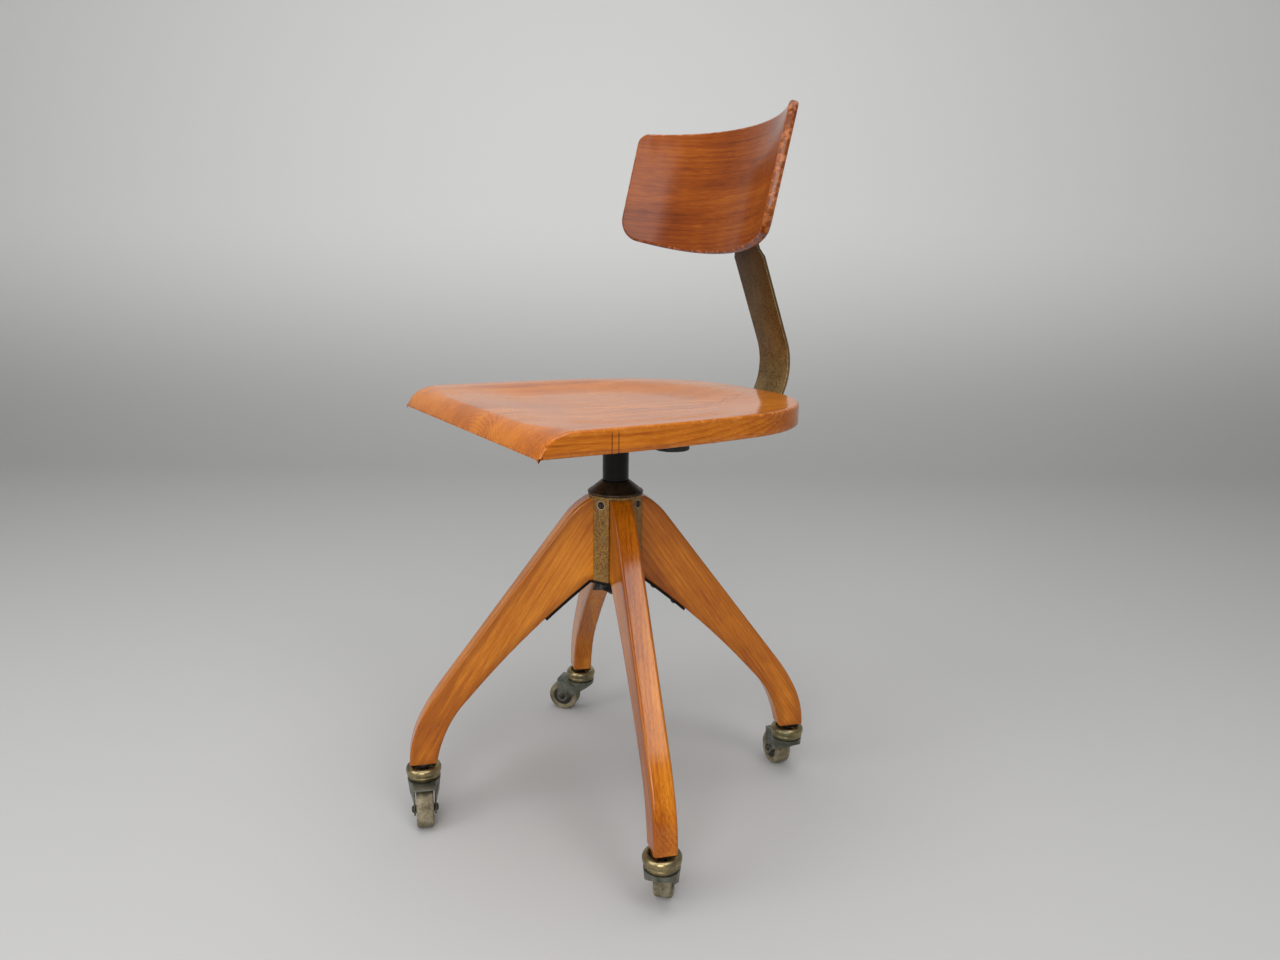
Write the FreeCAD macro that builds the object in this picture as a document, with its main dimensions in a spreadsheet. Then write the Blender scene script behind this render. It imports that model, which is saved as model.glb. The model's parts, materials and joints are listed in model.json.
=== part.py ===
# Bankers swivel chair: four curved wooden legs on casters, a screw column, a dished
# wooden seat and a small curved backrest on a flat spring bar.
# Millimetres. The origin is on the floor under the column, the seat's front is at -Y, +Z is up.

import FreeCAD, Part
import Sketcher
import math
import os

Vector = FreeCAD.Vector
Rotation = FreeCAD.Rotation
Placement = FreeCAD.Placement

doc = FreeCAD.newDocument("swivel_chair")
dim = doc.addObject("Spreadsheet::Sheet", "dim")

# Every driving dimension: lengths in millimetres, angles in degrees.
SIZES = [
    # base: four legs let into a square hub
    ("base_turn", -16.5), ("leg_thick", 26), ("leg_edge", 3.5), ("slot_depth", 22),
    ("leg_top", 388), ("shoulder_x", 33), ("shoulder_round", 82.8), ("knee_x", 60), ("knee_z", 365),
    ("shin_x", 213), ("shin_z", 163.5), ("ankle_round", 250), ("ankle_x", 238), ("ankle_z", 123),
    ("toe_round", 119), ("toe_x", 250.5), ("foot_z", 71), ("heel_x", 218.5),
    ("heel_round", 179), ("instep_x", 207), ("instep_z", 108), ("instep_round", 132.5),
    ("arch_x", 180), ("arch_z", 148), ("arch_round", 1063), ("tongue_x", 32),
    ("hub_top", 391), ("hub_bottom", 288), ("hub_flat", 31.4), ("hub_flange", 32.4),
    ("hub_bore", 18), ("hub_edge", 1.5), ("hub_screw_z", 381),
    # cap, guide bush and the strap under the legs
    ("cap_radius", 33), ("cap_lip", 4), ("cap_top_radius", 17.5), ("cap_top", 406),
    ("cap_hole", 16), ("bush_bore", 15.55), ("bush_wall", 2.4), ("bush_low", 361), ("bush_top", 399.9),
    ("strap_thick", 3), ("strap_wide", 22), ("strap_flat", 32), ("strap_reach", 87), ("strap_hole", 16.5),
    ("strap_gap", 0.1), ("strap_screw_near", 50), ("strap_screw_far", 76), ("flange_screw", 22.4),
    # thrust bearing under the column
    ("cup_radius", 18), ("cup_bore", 16.5), ("cup_low", 272), ("cup_floor", 3), ("cup_flange", 20.5),
    ("cup_corner", 8.6),
    ("race_radius", 15.5), ("race_bore", 6.6), ("race_thick", 2.2), ("ball_ring", 11), ("ball_radius", 1.5),
    ("ball_count", 10), ("race_play", 0.1),
    # screw spindle and column
    ("rod_radius", 10), ("rod_top", 425), ("rod_stub", 5.9), ("rod_flange", 14.5), ("rod_flange_thick", 2),
    ("rod_low", 266.2), ("rod_nut_flats", 18), ("rod_nut_thick", 5.2),
    ("column_radius", 15.5), ("column_bore", 12.5), ("column_low", 325), ("column_top", 475),
    ("nut_long", 25), ("collar_radius", 20), ("collar_thick", 3.95), ("run_gap", 0.05),
    # pan under the seat
    ("pan_low", 450.95), ("pan_thick", 3), ("pan_half", 55), ("pan_front", -60), ("pan_rear", 115),
    ("pan_round", 12), ("pan_flange", 18), ("pan_screw_x", 64), ("pan_screw_step", 52), ("slot_side", 1.25),
    ("slot_over", 1.5),
    # seat board
    ("seat_bottom", 480.9), ("seat_top", 505.2), ("seat_half", 200), ("seat_front_half", 199.4),
    ("seat_front", -188.6), ("seat_wide_at", -100), ("seat_rear", 200.7), ("seat_side_round", 1025.5),
    ("seat_shoulder_round", 158.15), ("fall_start", -150), ("fall_knee_y", -168), ("fall_knee_z", 502),
    ("fall_round", 34), ("fall_ease", 52), ("seat_edge", 3), ("seat_low_edge", 1.5),
    ("dish_half", 184), ("dish_rear", 168), ("dish_depth", 9), ("dish_slope", 0.45),
    ("dish_front_share", 0.35), ("dish_fade_from", -60), ("dish_rim_share", 0.25),
    # flat spring bar that carries the backrest
    ("bar_wide", 58), ("bar_thick", 4), ("bar_low", 454), ("bar_front", 27), ("bar_bend_y", 151),
    ("bar_bend_round", 82), ("bar_lean", 21.5), ("bar_rise", 145.5), ("bar_top_wide", 46),
    ("bar_waist", 24), ("bar_waist_run", 10), ("bar_slot_wide", 8.6),
    ("knuckle_radius", 9), ("knuckle_bore", 5.05), ("knuckle_long", 47),
    # clamp that fixes the bar's depth
    ("clamp_y", 78), ("clamp_travel", 35), ("clamp_screw", 3.95), ("clamp_hole", 4.2),
    ("clamp_screw_top", 466), ("knob_radius", 22), ("knob_low", 436.5), ("knob_top", 446.5),
    ("knob_edge", 2), ("knob_neck", 8), ("knob_lobes", 6), ("knob_scoop", 8), ("knob_scoop_ring", 27.5),
    ("washer_radius", 11), ("washer_thick", 2),
    ("plate_long", 40), ("plate_wide", 24), ("plate_thick", 5),
    # backrest panel and its bracket
    ("panel_y", 149.5), ("panel_z", 744), ("panel_lean", 13.6), ("panel_round", 250.5), ("panel_thick", 10),
    ("panel_half_turn", 37.4), ("panel_up", 73.8), ("panel_down", 75), ("panel_top_bow", 2236),
    ("panel_low_bow", 1106), ("panel_top_corner", 14), ("panel_low_corner", 29), ("panel_edge", 3.5),
    ("plate_half_turn", 6.5), ("plate_high", 60), ("ear_thick", 3), ("ear_gap", 48), ("ear_round", 9),
    ("ear_root", 36), ("pin_radius", 5), ("pin_head", 8.5), ("pin_head_thick", 3.4), ("pin_nut_flats", 15),
    ("pin_nut_thick", 4.5), ("panel_screw_turn", 3.3), ("panel_screw_step", 44),
    # casters
    ("caster_ring", 234.5), ("wheel_radius", 21.6), ("wheel_trail", 25.4), ("tread_half", 10),
    ("tread_edge", 2.5), ("tyre_bore", 14), ("core_half", 8.4), ("wheel_bore", 3.05), ("boss_radius", 5),
    ("boss_half", 10.9), ("stem_radius", 5.4), ("stem_hole", 5.5), ("stem_long", 32), ("stem_collar", 11),
    ("collar_low", 66), ("spigot_radius", 5), ("rivet_radius", 8), ("rivet_low", 44), ("rivet_top", 46.8),
    ("bell_top", 65.6), ("bell_rim", 16), ("bell_radius", 21), ("bell_wide_z", 59), ("bell_crown", 9),
    ("bell_roll", 2), ("groove_radius", 19.2), ("groove_z", 57), ("skirt_radius", 19.8), ("skirt_z", 54.4),
    ("skirt_foot", 18.8), ("bell_low", 50.6), ("bell_sheet", 1.6), ("dish_floor", 56),
    ("swivel_ring", 12.2), ("swivel_ring_half", 2.2), ("fork_top", 49.5), ("fork_low", 13.5),
    ("fork_sheet", 2), ("fork_plate", 2.5), ("crown_radius", 19.5), ("crown_low_radius", 16),
    ("crease_x", 16.5), ("crease_in_x", 16.1), ("fork_rear", 33), ("cheek_half", 13.2), ("lip_z", 45),
    ("brow_x", 0.5), ("brow_z", 32.5), ("cheek_z", 20), ("axle_radius", 3), ("axle_head", 4.8),
    ("axle_proud", 2.4),
    # screws
    ("screw_radius", 1.95), ("screw_hole", 2), ("screw_head", 4), ("screw_head_high", 2.2),
    ("screw_long", 17), ("hub_screw_long", 15), ("hub_screw_head", 4.5), ("panel_screw_long", 10),
    ("head_crown", 0.6),
]
for row, (name, value) in enumerate(SIZES, 1):
    dim.set(f"A{row}", name)
    dim.set(f"B{row}", str(value))
    dim.setAlias(f"B{row}", name)
doc.recompute()

# Each leg's name, its quarter turn about the hub and the heading of its caster.
LEGS = [("left", 0, 140.8), ("rear", 1, 170.5), ("right", 2, 223.1), ("front", 3, 343.4)]

parts = []


def size(value):
    """The number that an expression on the sheet gives; a plain number stays as it is."""
    return float(dim.evalExpression(value)) if isinstance(value, str) else float(value)


def bind(owner, prop, value):
    """A text value is tied to the sheet, a number is only stored."""
    if isinstance(value, str):
        owner.setExpression(prop, value)
    else:
        setattr(owner, prop, value)


def keep(piece, where=None):
    """Put a finished sub-part in its place and list it for the part's files."""
    if where is not None:
        piece.Placement = where
    parts.append(piece)
    return piece


def new_body(label):
    body = doc.addObject("PartDesign::Body", label)
    body.Label = label
    return body


def new_sketch(body, plane, name, lift=None):
    """A sketch on one of the body's origin planes, lifted along the plane's normal."""
    sketch = body.newObject("Sketcher::SketchObject", name)
    base = next(feature for feature in body.Origin.OriginFeatures if feature.Role == plane)
    sketch.AttachmentSupport = [(base, "")]
    sketch.MapMode = "FlatFace"
    if isinstance(lift, str):
        sketch.setExpression("AttachmentOffset.Base.z", lift)
    elif lift is not None:
        sketch.AttachmentOffset = Placement(Vector(0, 0, lift), Rotation())
    return sketch


def pin_point(sketch, edge, end, x, y):
    for kind, value in (("DistanceX", x), ("DistanceY", y)):
        index = sketch.addConstraint(Sketcher.Constraint(kind, -1, 1, edge, end, size(value)))
        if isinstance(value, str):
            sketch.setExpression(f"Constraints[{index}]", value)


def arc_centre(start, end, radius, side):
    chord = end - start
    across = Vector(-chord.y, chord.x, 0).normalize()
    reach = math.sqrt(max(radius**2 - (chord.Length / 2) ** 2, 0))
    return (start + end) * 0.5 + across * (reach if side == "left" else -reach)


def set_radius(sketch, edge, radius, centre, chord):
    """Fix an arc between pinned ends by its radius, or a half circle by where its centre is."""
    if chord.Length < 2 * size(radius) - 1e-6:
        index = sketch.addConstraint(Sketcher.Constraint("Radius", edge, size(radius)))
        if isinstance(radius, str):
            sketch.setExpression(f"Constraints[{index}]", radius)
    elif abs(chord.x) < abs(chord.y):
        sketch.addConstraint(Sketcher.Constraint("DistanceX", -1, 1, edge, 3, centre.x))
    else:
        sketch.addConstraint(Sketcher.Constraint("DistanceY", -1, 1, edge, 3, centre.y))


def trace(sketch, *corners):
    """A closed outline. (x, y) is reached by a line, and (x, y, radius, side) by an arc
    whose centre lies on that side of the way; the first corner closes the outline."""
    spots = [Vector(size(corner[0]), size(corner[1]), 0) for corner in corners]
    tails, heads = [], []
    for number, corner in enumerate(corners[1:] + corners[:1]):
        start, end = spots[number], spots[(number + 1) % len(spots)]
        if len(corner) == 2:
            edge = sketch.addGeometry(Part.LineSegment(start, end), False)
            tail, head = 1, 2
        else:
            radius, side = corner[2:]
            centre = arc_centre(start, end, size(radius), side)
            first, last = (start, end) if side == "left" else (end, start)
            turns = [math.atan2(spot.y - centre.y, spot.x - centre.x) for spot in (first, last)]
            circle = Part.Circle(centre, Vector(0, 0, 1), size(radius))
            edge = sketch.addGeometry(Part.ArcOfCircle(circle, *turns), False)
            tail, head = (1, 2) if side == "left" else (2, 1)
            set_radius(sketch, edge, radius, centre, end - start)
        pin_point(sketch, edge, tail, corners[number][0], corners[number][1])
        tails.append((edge, tail))
        heads.append((edge, head))
    for number, (edge, head) in enumerate(heads):
        following = tails[(number + 1) % len(tails)]
        sketch.addConstraint(Sketcher.Constraint("Coincident", edge, head, *following))


def rectangle(sketch, left, low, right, high):
    trace(sketch, (left, low), (right, low), (right, high), (left, high))


def circle(sketch, x, y, radius):
    centre = Vector(size(x), size(y), 0)
    edge = sketch.addGeometry(Part.Circle(centre, Vector(0, 0, 1), size(radius)), False)
    pin_point(sketch, edge, 3, x, y)
    index = sketch.addConstraint(Sketcher.Constraint("Radius", edge, size(radius)))
    if isinstance(radius, str):
        sketch.setExpression(f"Constraints[{index}]", radius)


def pad(body, sketch, length, both_ways=False):
    feature = body.newObject("PartDesign::Pad", "Pad")
    feature.Profile = sketch
    feature.SideType = "Symmetric" if both_ways else "One side"
    bind(feature, "Length", length)
    doc.recompute()
    return feature


def pocket(body, sketch, length=None, both_ways=False):
    """Cut the sketch against its normal, right through where no length is given."""
    feature = body.newObject("PartDesign::Pocket", "Pocket")
    feature.Profile = sketch
    feature.SideType = "Symmetric" if both_ways else "One side"
    feature.Type = "ThroughAll" if length is None else "Length"
    if length is not None:
        bind(feature, "Length", length)
    doc.recompute()
    return feature


def around(body, feature, count):
    """Repeat a feature evenly about the body's Z axis."""
    pattern = body.newObject("PartDesign::PolarPattern", "PolarPattern")
    pattern.Originals = [feature]
    pattern.Axis = (next(axis for axis in body.Origin.OriginFeatures if axis.Role == "Z_Axis"), [""])
    pattern.Angle = 360
    bind(pattern, "Occurrences", count)
    body.Tip = pattern
    doc.recompute()
    return pattern


def drill(body, spot, direction, radius, depth):
    """A round hole from a spot inward along a direction."""
    hole = body.newObject("PartDesign::SubtractiveCylinder", "Hole")
    bind(hole, "Radius", radius)
    bind(hole, "Height", depth)
    hole.Placement = Placement(spot, Rotation(Vector(0, 0, 1), direction))
    doc.recompute()
    return hole


def round_edges(body, feature, radius, wanted):
    """Fillet the edges for which wanted(edge) holds."""
    names = [f"Edge{n}" for n, edge in enumerate(feature.Shape.Edges, 1) if wanted(edge)]
    fillet = body.newObject("PartDesign::Fillet", "Fillet")
    fillet.Base = (feature, names)
    bind(fillet, "Radius", radius)
    doc.recompute()
    return fillet


def upright(edge):
    low, high = edge.BoundBox.ZMin, edge.BoundBox.ZMax
    return high - low > 1e-3 and edge.BoundBox.XLength < 1e-3 and edge.BoundBox.YLength < 1e-3


def turned(label, *outline):
    """A body of revolution about Z; the outline is in (radius, height)."""
    body = new_body(label)
    section = new_sketch(body, "XZ_Plane", "Section")
    trace(section, *outline)
    revolution = body.newObject("PartDesign::Revolution", "Revolution")
    revolution.Profile = section
    revolution.ReferenceAxis = (section, ["V_Axis"])
    revolution.Angle = 360
    doc.recompute()
    return body


def tube(label, bore, radius, low, high):
    return turned(label, (bore, low), (radius, low), (radius, high), (bore, high))


def group(label, pattern, places):
    """Copies of one piece, as separate solids in one sub-part."""
    piece = doc.addObject("Part::Feature", label)
    piece.Label = label
    copies = []
    for place in places:
        copy = pattern.Shape.copy()
        copy.Placement = place.multiply(copy.Placement)
        copies.append(copy)
    piece.Shape = Part.makeCompound(copies)
    return keep(piece)


def turn_z(degrees):
    return Placement(Vector(), Rotation(Vector(0, 0, 1), degrees))


def facing(spot, direction):
    return Placement(spot, Rotation(Vector(0, 0, 1), direction))


base = turn_z(dim.base_turn)


def leg_place(quarter):
    return turn_z(dim.base_turn + 90 * quarter)


def arch_centre():
    """Centre of the long arc under the legs, in a leg's own (outward, up) plane."""
    foot_end = Vector(dim.arch_x, dim.arch_z, 0)
    hub_end = Vector(dim.tongue_x, dim.hub_bottom, 0)
    return arc_centre(foot_end, hub_end, dim.arch_round, "left")


def on_arch(outward, radius):
    """The point of a circle about the arch's centre that lies under a distance from the hub."""
    centre = arch_centre()
    turn = math.acos((outward - centre.x) / dim.arch_round)
    return centre + Vector(math.cos(turn), math.sin(turn), 0) * radius


def reach_on_arch(height, radius):
    """How far from the hub's axis a circle about the arch's centre passes a height."""
    centre = arch_centre()
    return centre.x + math.sqrt(radius**2 - (height - centre.y) ** 2)


def strap_screw_seats():
    """Where a leg's two strap screws enter the strap, and their common direction."""
    seats = []
    for outward in (dim.strap_screw_near, dim.strap_screw_far):
        under = on_arch(outward, dim.arch_round - dim.strap_gap - dim.strap_thick)
        up = (under - arch_centre()).normalize()
        seats.append((Vector(under.x, 0, under.y), Vector(up.x, 0, up.y)))
    return seats


def leg(name, quarter):
    """A sawn leg: its shoulder tongue sits in the hub's slot and its foot takes a caster stem."""
    body = new_body(f"leg_{name}")
    side = new_sketch(body, "XZ_Plane", "Side")
    trace(
        side,
        ("dim.slot_depth", "dim.leg_top"),
        ("dim.shoulder_x", "dim.leg_top"),
        ("dim.knee_x", "dim.knee_z", "dim.shoulder_round", "right"),
        ("dim.shin_x", "dim.shin_z"),
        ("dim.ankle_x", "dim.ankle_z", "dim.ankle_round", "right"),
        ("dim.toe_x", "dim.foot_z", "dim.toe_round", "right"),
        ("dim.heel_x", "dim.foot_z"),
        ("dim.instep_x", "dim.instep_z", "dim.heel_round", "left"),
        ("dim.arch_x", "dim.arch_z", "dim.instep_round", "left"),
        ("dim.tongue_x", "dim.hub_bottom", "dim.arch_round", "left"),
        ("dim.slot_depth", "dim.hub_bottom"),
    )
    board = pad(body, side, "dim.leg_thick", both_ways=True)

    def long_edge(edge):
        middle = edge.CenterOfMass
        beside = edge.BoundBox.YLength < 1e-3 and abs(abs(middle.y) - dim.leg_thick / 2) < 1e-3
        return beside and middle.x > dim.shoulder_x and middle.z > dim.foot_z + 1

    round_edges(body, board, "dim.leg_edge", long_edge)
    drill(body, Vector(dim.caster_ring, 0, dim.foot_z), Vector(0, 0, 1), "dim.stem_hole", "dim.stem_long + 1")
    for spot, up in strap_screw_seats():
        drill(body, spot, up, "dim.screw_hole", "dim.screw_long")
    keep(body, leg_place(quarter))


# The direction between two legs, in which the hub's four panels face.
BETWEEN = Vector(math.cos(math.radians(45)), math.sin(math.radians(45)), 0)


def hub_housing():
    """A square cast hub, set cornerwise to the legs: a slot at each corner takes a leg's
    tongue, and a round flange closes it above the legs."""
    body = new_body("hub_housing")
    plan = new_sketch(body, "XY_Plane", "Plan", "dim.hub_bottom")
    corner = "dim.hub_flat * sqrt(2)"
    trace(plan, (corner, 0), (0, corner), ("-" + corner, 0), (0, "-" + corner))
    pad(body, plan, "dim.leg_top - dim.hub_bottom")
    slot = new_sketch(body, "XY_Plane", "Slot", "dim.leg_top")
    rectangle(slot, "dim.slot_depth", "-dim.leg_thick / 2", "2 * dim.hub_flat", "dim.leg_thick / 2")
    slots = around(body, pocket(body, slot), 4)

    def panel_edge(edge):
        middle = edge.CenterOfMass
        return upright(edge) and math.hypot(middle.x, middle.y) > dim.hub_flat

    round_edges(body, slots, "dim.hub_edge", panel_edge)
    flange = new_sketch(body, "XY_Plane", "Flange", "dim.leg_top")
    circle(flange, 0, 0, "dim.hub_flange")
    pad(body, flange, "dim.hub_top - dim.leg_top")
    bore = new_sketch(body, "XY_Plane", "Bore", "dim.hub_top")
    circle(bore, 0, 0, "dim.hub_bore")
    pocket(body, bore)
    start = BETWEEN * dim.hub_flat + Vector(0, 0, dim.hub_screw_z)
    around(body, drill(body, start, BETWEEN * -1, "dim.screw_hole", "dim.hub_flat - dim.hub_bore / 2"), 4)
    below = BETWEEN * dim.flange_screw + Vector(0, 0, dim.hub_bottom)
    around(body, drill(body, below, Vector(0, 0, 1), "dim.screw_hole", "dim.screw_long - 5"), 4)
    keep(body, base)


def hub_cap():
    """A pressed cone with a rolled lip that closes the hub round the column."""
    cap = turned(
        "hub_cap",
        ("dim.hub_bore + dim.run_gap", "dim.hub_top"),
        ("dim.cap_radius - dim.cap_lip / 2", "dim.hub_top"),
        ("dim.cap_radius - dim.cap_lip / 2", "dim.hub_top + dim.cap_lip", "dim.cap_lip / 2", "left"),
        ("dim.cap_top_radius", "dim.cap_top"),
        ("dim.cap_hole", "dim.cap_top"),
        ("dim.cap_hole", "dim.bush_top + 0.1"),
        ("dim.hub_bore + dim.run_gap", "dim.bush_top + 0.1"),
    )
    keep(cap)


def guide_bush():
    """The bush that the column slides and turns in, held by the four screws of the hub."""
    outside = "dim.bush_bore + dim.bush_wall"
    bush = tube("guide_bush", "dim.bush_bore", outside, "dim.bush_low", "dim.bush_top")
    start = BETWEEN * dim.hub_bore + Vector(0, 0, dim.hub_screw_z)
    around(bush, drill(bush, start, BETWEEN * -1, "dim.screw_hole", "dim.hub_bore - dim.bush_bore + 1"), 4)
    keep(bush, base)


def strap_top():
    return dim.hub_bottom - dim.strap_gap


def strap_low():
    return strap_top() - dim.strap_thick


def flange_holes(body, low):
    """The holes of the four screws that hold strap and cup to the hub."""
    start = BETWEEN * dim.flange_screw + Vector(0, 0, low)
    around(body, drill(body, start, Vector(0, 0, 1), "dim.screw_hole", "dim.strap_thick"), 4)


def leg_strap():
    """A pressed spider: an eight-sided plate under the hub and an arm up against each leg."""
    body = new_body("leg_strap")
    near = dim.tongue_x - dim.strap_gap
    side = dim.strap_flat * math.sqrt(2) - near
    plate = new_sketch(body, "XY_Plane", "Plate", strap_low())
    corners = [turn_z(90 * number).multVec(Vector(near, y, 0)) for number in range(4) for y in (-side, side)]
    trace(plate, *[(corner.x, corner.y) for corner in corners])
    pad(body, plate, "dim.strap_thick")
    outer = dim.arch_round - dim.strap_gap
    inner = outer - dim.strap_thick
    end_top, end_low = on_arch(dim.strap_reach, outer), on_arch(dim.strap_reach, inner)
    arm = new_sketch(body, "XZ_Plane", "Arm")
    trace(
        arm,
        (dim.hub_bore, strap_top()),
        (reach_on_arch(strap_top(), outer), strap_top()),
        (end_top.x, end_top.y, outer, "right"),
        (end_low.x, end_low.y),
        (reach_on_arch(strap_low(), inner), strap_low(), inner, "left"),
        (dim.hub_bore, strap_low()),
    )
    around(body, pad(body, arm, "dim.strap_wide", both_ways=True), 4)
    drill(body, Vector(0, 0, strap_low()), Vector(0, 0, 1), "dim.strap_hole", "dim.strap_thick")
    for spot, up in strap_screw_seats():
        around(body, drill(body, spot, up, "dim.screw_hole", "dim.strap_thick + 1"), 4)
    flange_holes(body, strap_low())
    keep(body, base)


def bearing_cup():
    """A cup hung by its square flange under the strap; the thrust bearing sits on its floor."""
    body = new_body("bearing_cup")
    low = strap_low() - dim.strap_thick
    plate = new_sketch(body, "XY_Plane", "Flange", low)
    rectangle(plate, "-dim.cup_flange", "-dim.cup_flange", "dim.cup_flange", "dim.cup_flange")
    round_edges(body, pad(body, plate, "dim.strap_thick"), "dim.cup_corner", upright)
    wall = new_sketch(body, "XY_Plane", "Wall", "dim.cup_low")
    circle(wall, 0, 0, "dim.cup_radius")
    pad(body, wall, low - dim.cup_low)
    inside = Vector(0, 0, dim.cup_low + dim.cup_floor)
    drill(body, inside, Vector(0, 0, 1), "dim.cup_bore", strap_low() - inside.z)
    drill(body, Vector(0, 0, dim.cup_low), Vector(0, 0, 1), "dim.rod_stub + 0.1", "dim.cup_floor")
    flange_holes(body, low)
    keep(body, base)


def ball(label, radius):
    """A ball, turned from half a disc about Z."""
    return turned(label, (0, -radius), (radius, 0, radius, "left"), (0, radius, radius, "left"))


def upper_race_low():
    return dim.cup_low + dim.cup_floor + dim.race_thick + 2 * dim.ball_radius + dim.race_play


def thrust_bearing():
    """Two washers with a ring of balls between them, on the floor of the cup."""
    floor = dim.cup_low + dim.cup_floor
    for label, low in (("thrust_race_lower", floor), ("thrust_race_upper", upper_race_low())):
        keep(tube(label, "dim.race_bore", "dim.race_radius", low, low + dim.race_thick))
    spot = Placement(Vector(dim.ball_ring, 0, floor + dim.race_thick + dim.ball_radius), Rotation())
    count = int(dim.ball_count)
    places = [turn_z(360 * number / count).multiply(spot) for number in range(count)]
    group("thrust_balls", ball("ball_pattern", dim.ball_radius), places)


def threaded_rod():
    """The screw spindle; its flange stands on the bearing and its stub goes through the cup."""
    seat = upper_race_low() + dim.race_thick
    rod = turned(
        "threaded_rod",
        (0, "dim.rod_low"),
        ("dim.rod_stub", "dim.rod_low"),
        ("dim.rod_stub", seat),
        ("dim.rod_flange", seat),
        ("dim.rod_flange", seat + dim.rod_flange_thick),
        ("dim.rod_radius", seat + dim.rod_flange_thick),
        ("dim.rod_radius", "dim.rod_top"),
        (0, "dim.rod_top"),
    )
    keep(rod)


def hex_nut(label, flats, bore, low, thick):
    body = new_body(label)
    plan = new_sketch(body, "XY_Plane", "Hexagon", low)
    reach = size(flats) / math.sqrt(3)
    turns = [math.radians(60 * number) for number in range(6)]
    trace(plan, *[(reach * math.cos(turn), reach * math.sin(turn)) for turn in turns])
    circle(plan, 0, 0, bore)
    pad(body, plan, thick)
    return body


def column_tube():
    """The column: it slides in the guide bush, with a collar under the seat's pan."""
    column = turned(
        "column_tube",
        ("dim.column_bore", "dim.column_low"),
        ("dim.column_radius", "dim.column_low"),
        ("dim.column_radius", "dim.pan_low - dim.collar_thick"),
        ("dim.collar_radius", "dim.pan_low - dim.collar_thick"),
        ("dim.collar_radius", "dim.pan_low"),
        ("dim.column_radius", "dim.pan_low"),
        ("dim.column_radius", "dim.column_top"),
        ("dim.column_bore", "dim.column_top"),
    )
    keep(column)
    nut_bore = "dim.rod_radius + dim.run_gap"
    nut_radius = "dim.column_bore - dim.run_gap"
    keep(tube("column_nut", nut_bore, nut_radius, "dim.column_low", "dim.column_low + dim.nut_long"))


def pan_rectangle(body, name, lift, grow, thick, cut=False):
    """A layer of the pan: its rounded plan grown or shrunk by a margin, added or cut away."""
    plan = new_sketch(body, "XY_Plane", name, lift)
    half = dim.pan_half + grow
    front, rear, corner = dim.pan_front - grow, dim.pan_rear + grow, dim.pan_round + grow / 2
    trace(
        plan,
        (-half + corner, front, corner, "left"),
        (half - corner, front),
        (half, front + corner, corner, "left"),
        (half, rear - corner),
        (half - corner, rear, corner, "left"),
        (-half + corner, rear),
        (-half, rear - corner, corner, "left"),
        (-half, front + corner),
    )
    return pocket(body, plan, thick) if cut else pad(body, plan, thick)


def pan_screw_spots():
    middle = (dim.pan_front + dim.pan_rear) / 2
    steps = [middle + dim.pan_screw_step * number for number in (-1.5, -0.5, 0.5, 1.5)]
    return [Vector(side * dim.pan_screw_x, y, 0) for side in (-1, 1) for y in steps]


def seat_bracket():
    """The pressed pan under the seat: flange for eight screws, column hole and bar slot."""
    body = new_body("seat_bracket")
    pan_rectangle(body, "Tray", "dim.pan_low", 0, "dim.seat_bottom - dim.pan_low")
    pan_rectangle(body, "Flange", "dim.seat_bottom - dim.pan_thick", dim.pan_flange, "dim.pan_thick")
    hollow = "dim.seat_bottom - dim.pan_low - dim.pan_thick"
    pan_rectangle(body, "Hollow", "dim.seat_bottom", -dim.pan_thick, hollow, cut=True)
    exit_slot = new_sketch(body, "XZ_Plane", "BarSlot", "-(dim.pan_rear - dim.pan_thick - 2)")
    floor = "dim.pan_low + dim.pan_thick"
    half = "dim.bar_wide / 2 + dim.slot_side"
    rectangle(exit_slot, f"-({half})", floor, half, f"{floor} + dim.bar_thick + dim.slot_over")
    pocket(body, exit_slot, "dim.pan_thick + 3")
    bottom, up = Vector(0, 0, dim.pan_low), Vector(0, 0, 1)
    drill(body, bottom, up, "dim.column_radius + dim.run_gap", "dim.pan_thick")
    drill(body, bottom + Vector(0, dim.clamp_y, 0), up, "dim.clamp_hole", "dim.pan_thick")
    under = Vector(0, 0, dim.seat_bottom - dim.pan_thick)
    for spot in pan_screw_spots():
        drill(body, spot + under, up, "dim.screw_hole", "dim.pan_thick")
    keep(body)


def dish_depth_at(x, y):
    """How far the seat's surface lies under the board's top; negative outside the dish."""
    across = x / dim.dish_half
    rho = math.hypot(across, y / dim.dish_rear) if y > 0 else abs(across)
    t = min((1 - rho) / dim.dish_slope, 1)
    rim = dim.dish_rim_share
    if t < 0:
        shape = 2 * rim * t
    else:
        shape = (1 - rim) * t * t * (3 - 2 * t) + rim * (2 * t - t * t)
    fade = min(max((dim.dish_fade_from - y) / (dim.dish_fade_from - dim.fall_start), 0), 1)
    share = 1 - (1 - dim.dish_front_share) * fade * fade * (3 - 2 * fade)
    return dim.dish_depth * shape * share


def dish_tool():
    """A solid whose underside is the dished surface, as one smooth spline surface."""
    margin, steps = 8, 32
    wide, front, rear = dim.seat_half + margin, dim.seat_front - margin, dim.seat_rear + margin
    xs = [wide * (2 * number / steps - 1) for number in range(steps + 1)]
    ys = [front + (rear - front) * number / steps for number in range(steps + 1)]
    grid = [[Vector(x, y, dim.seat_top - dish_depth_at(x, y)) for y in ys] for x in xs]
    surface = Part.BSplineSurface()
    surface.interpolate(grid)
    tool = doc.addObject("Part::Feature", "dish_tool")
    tool.Shape = surface.toShape().extrude(Vector(0, 0, 4 * dim.dish_depth))
    return tool


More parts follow.
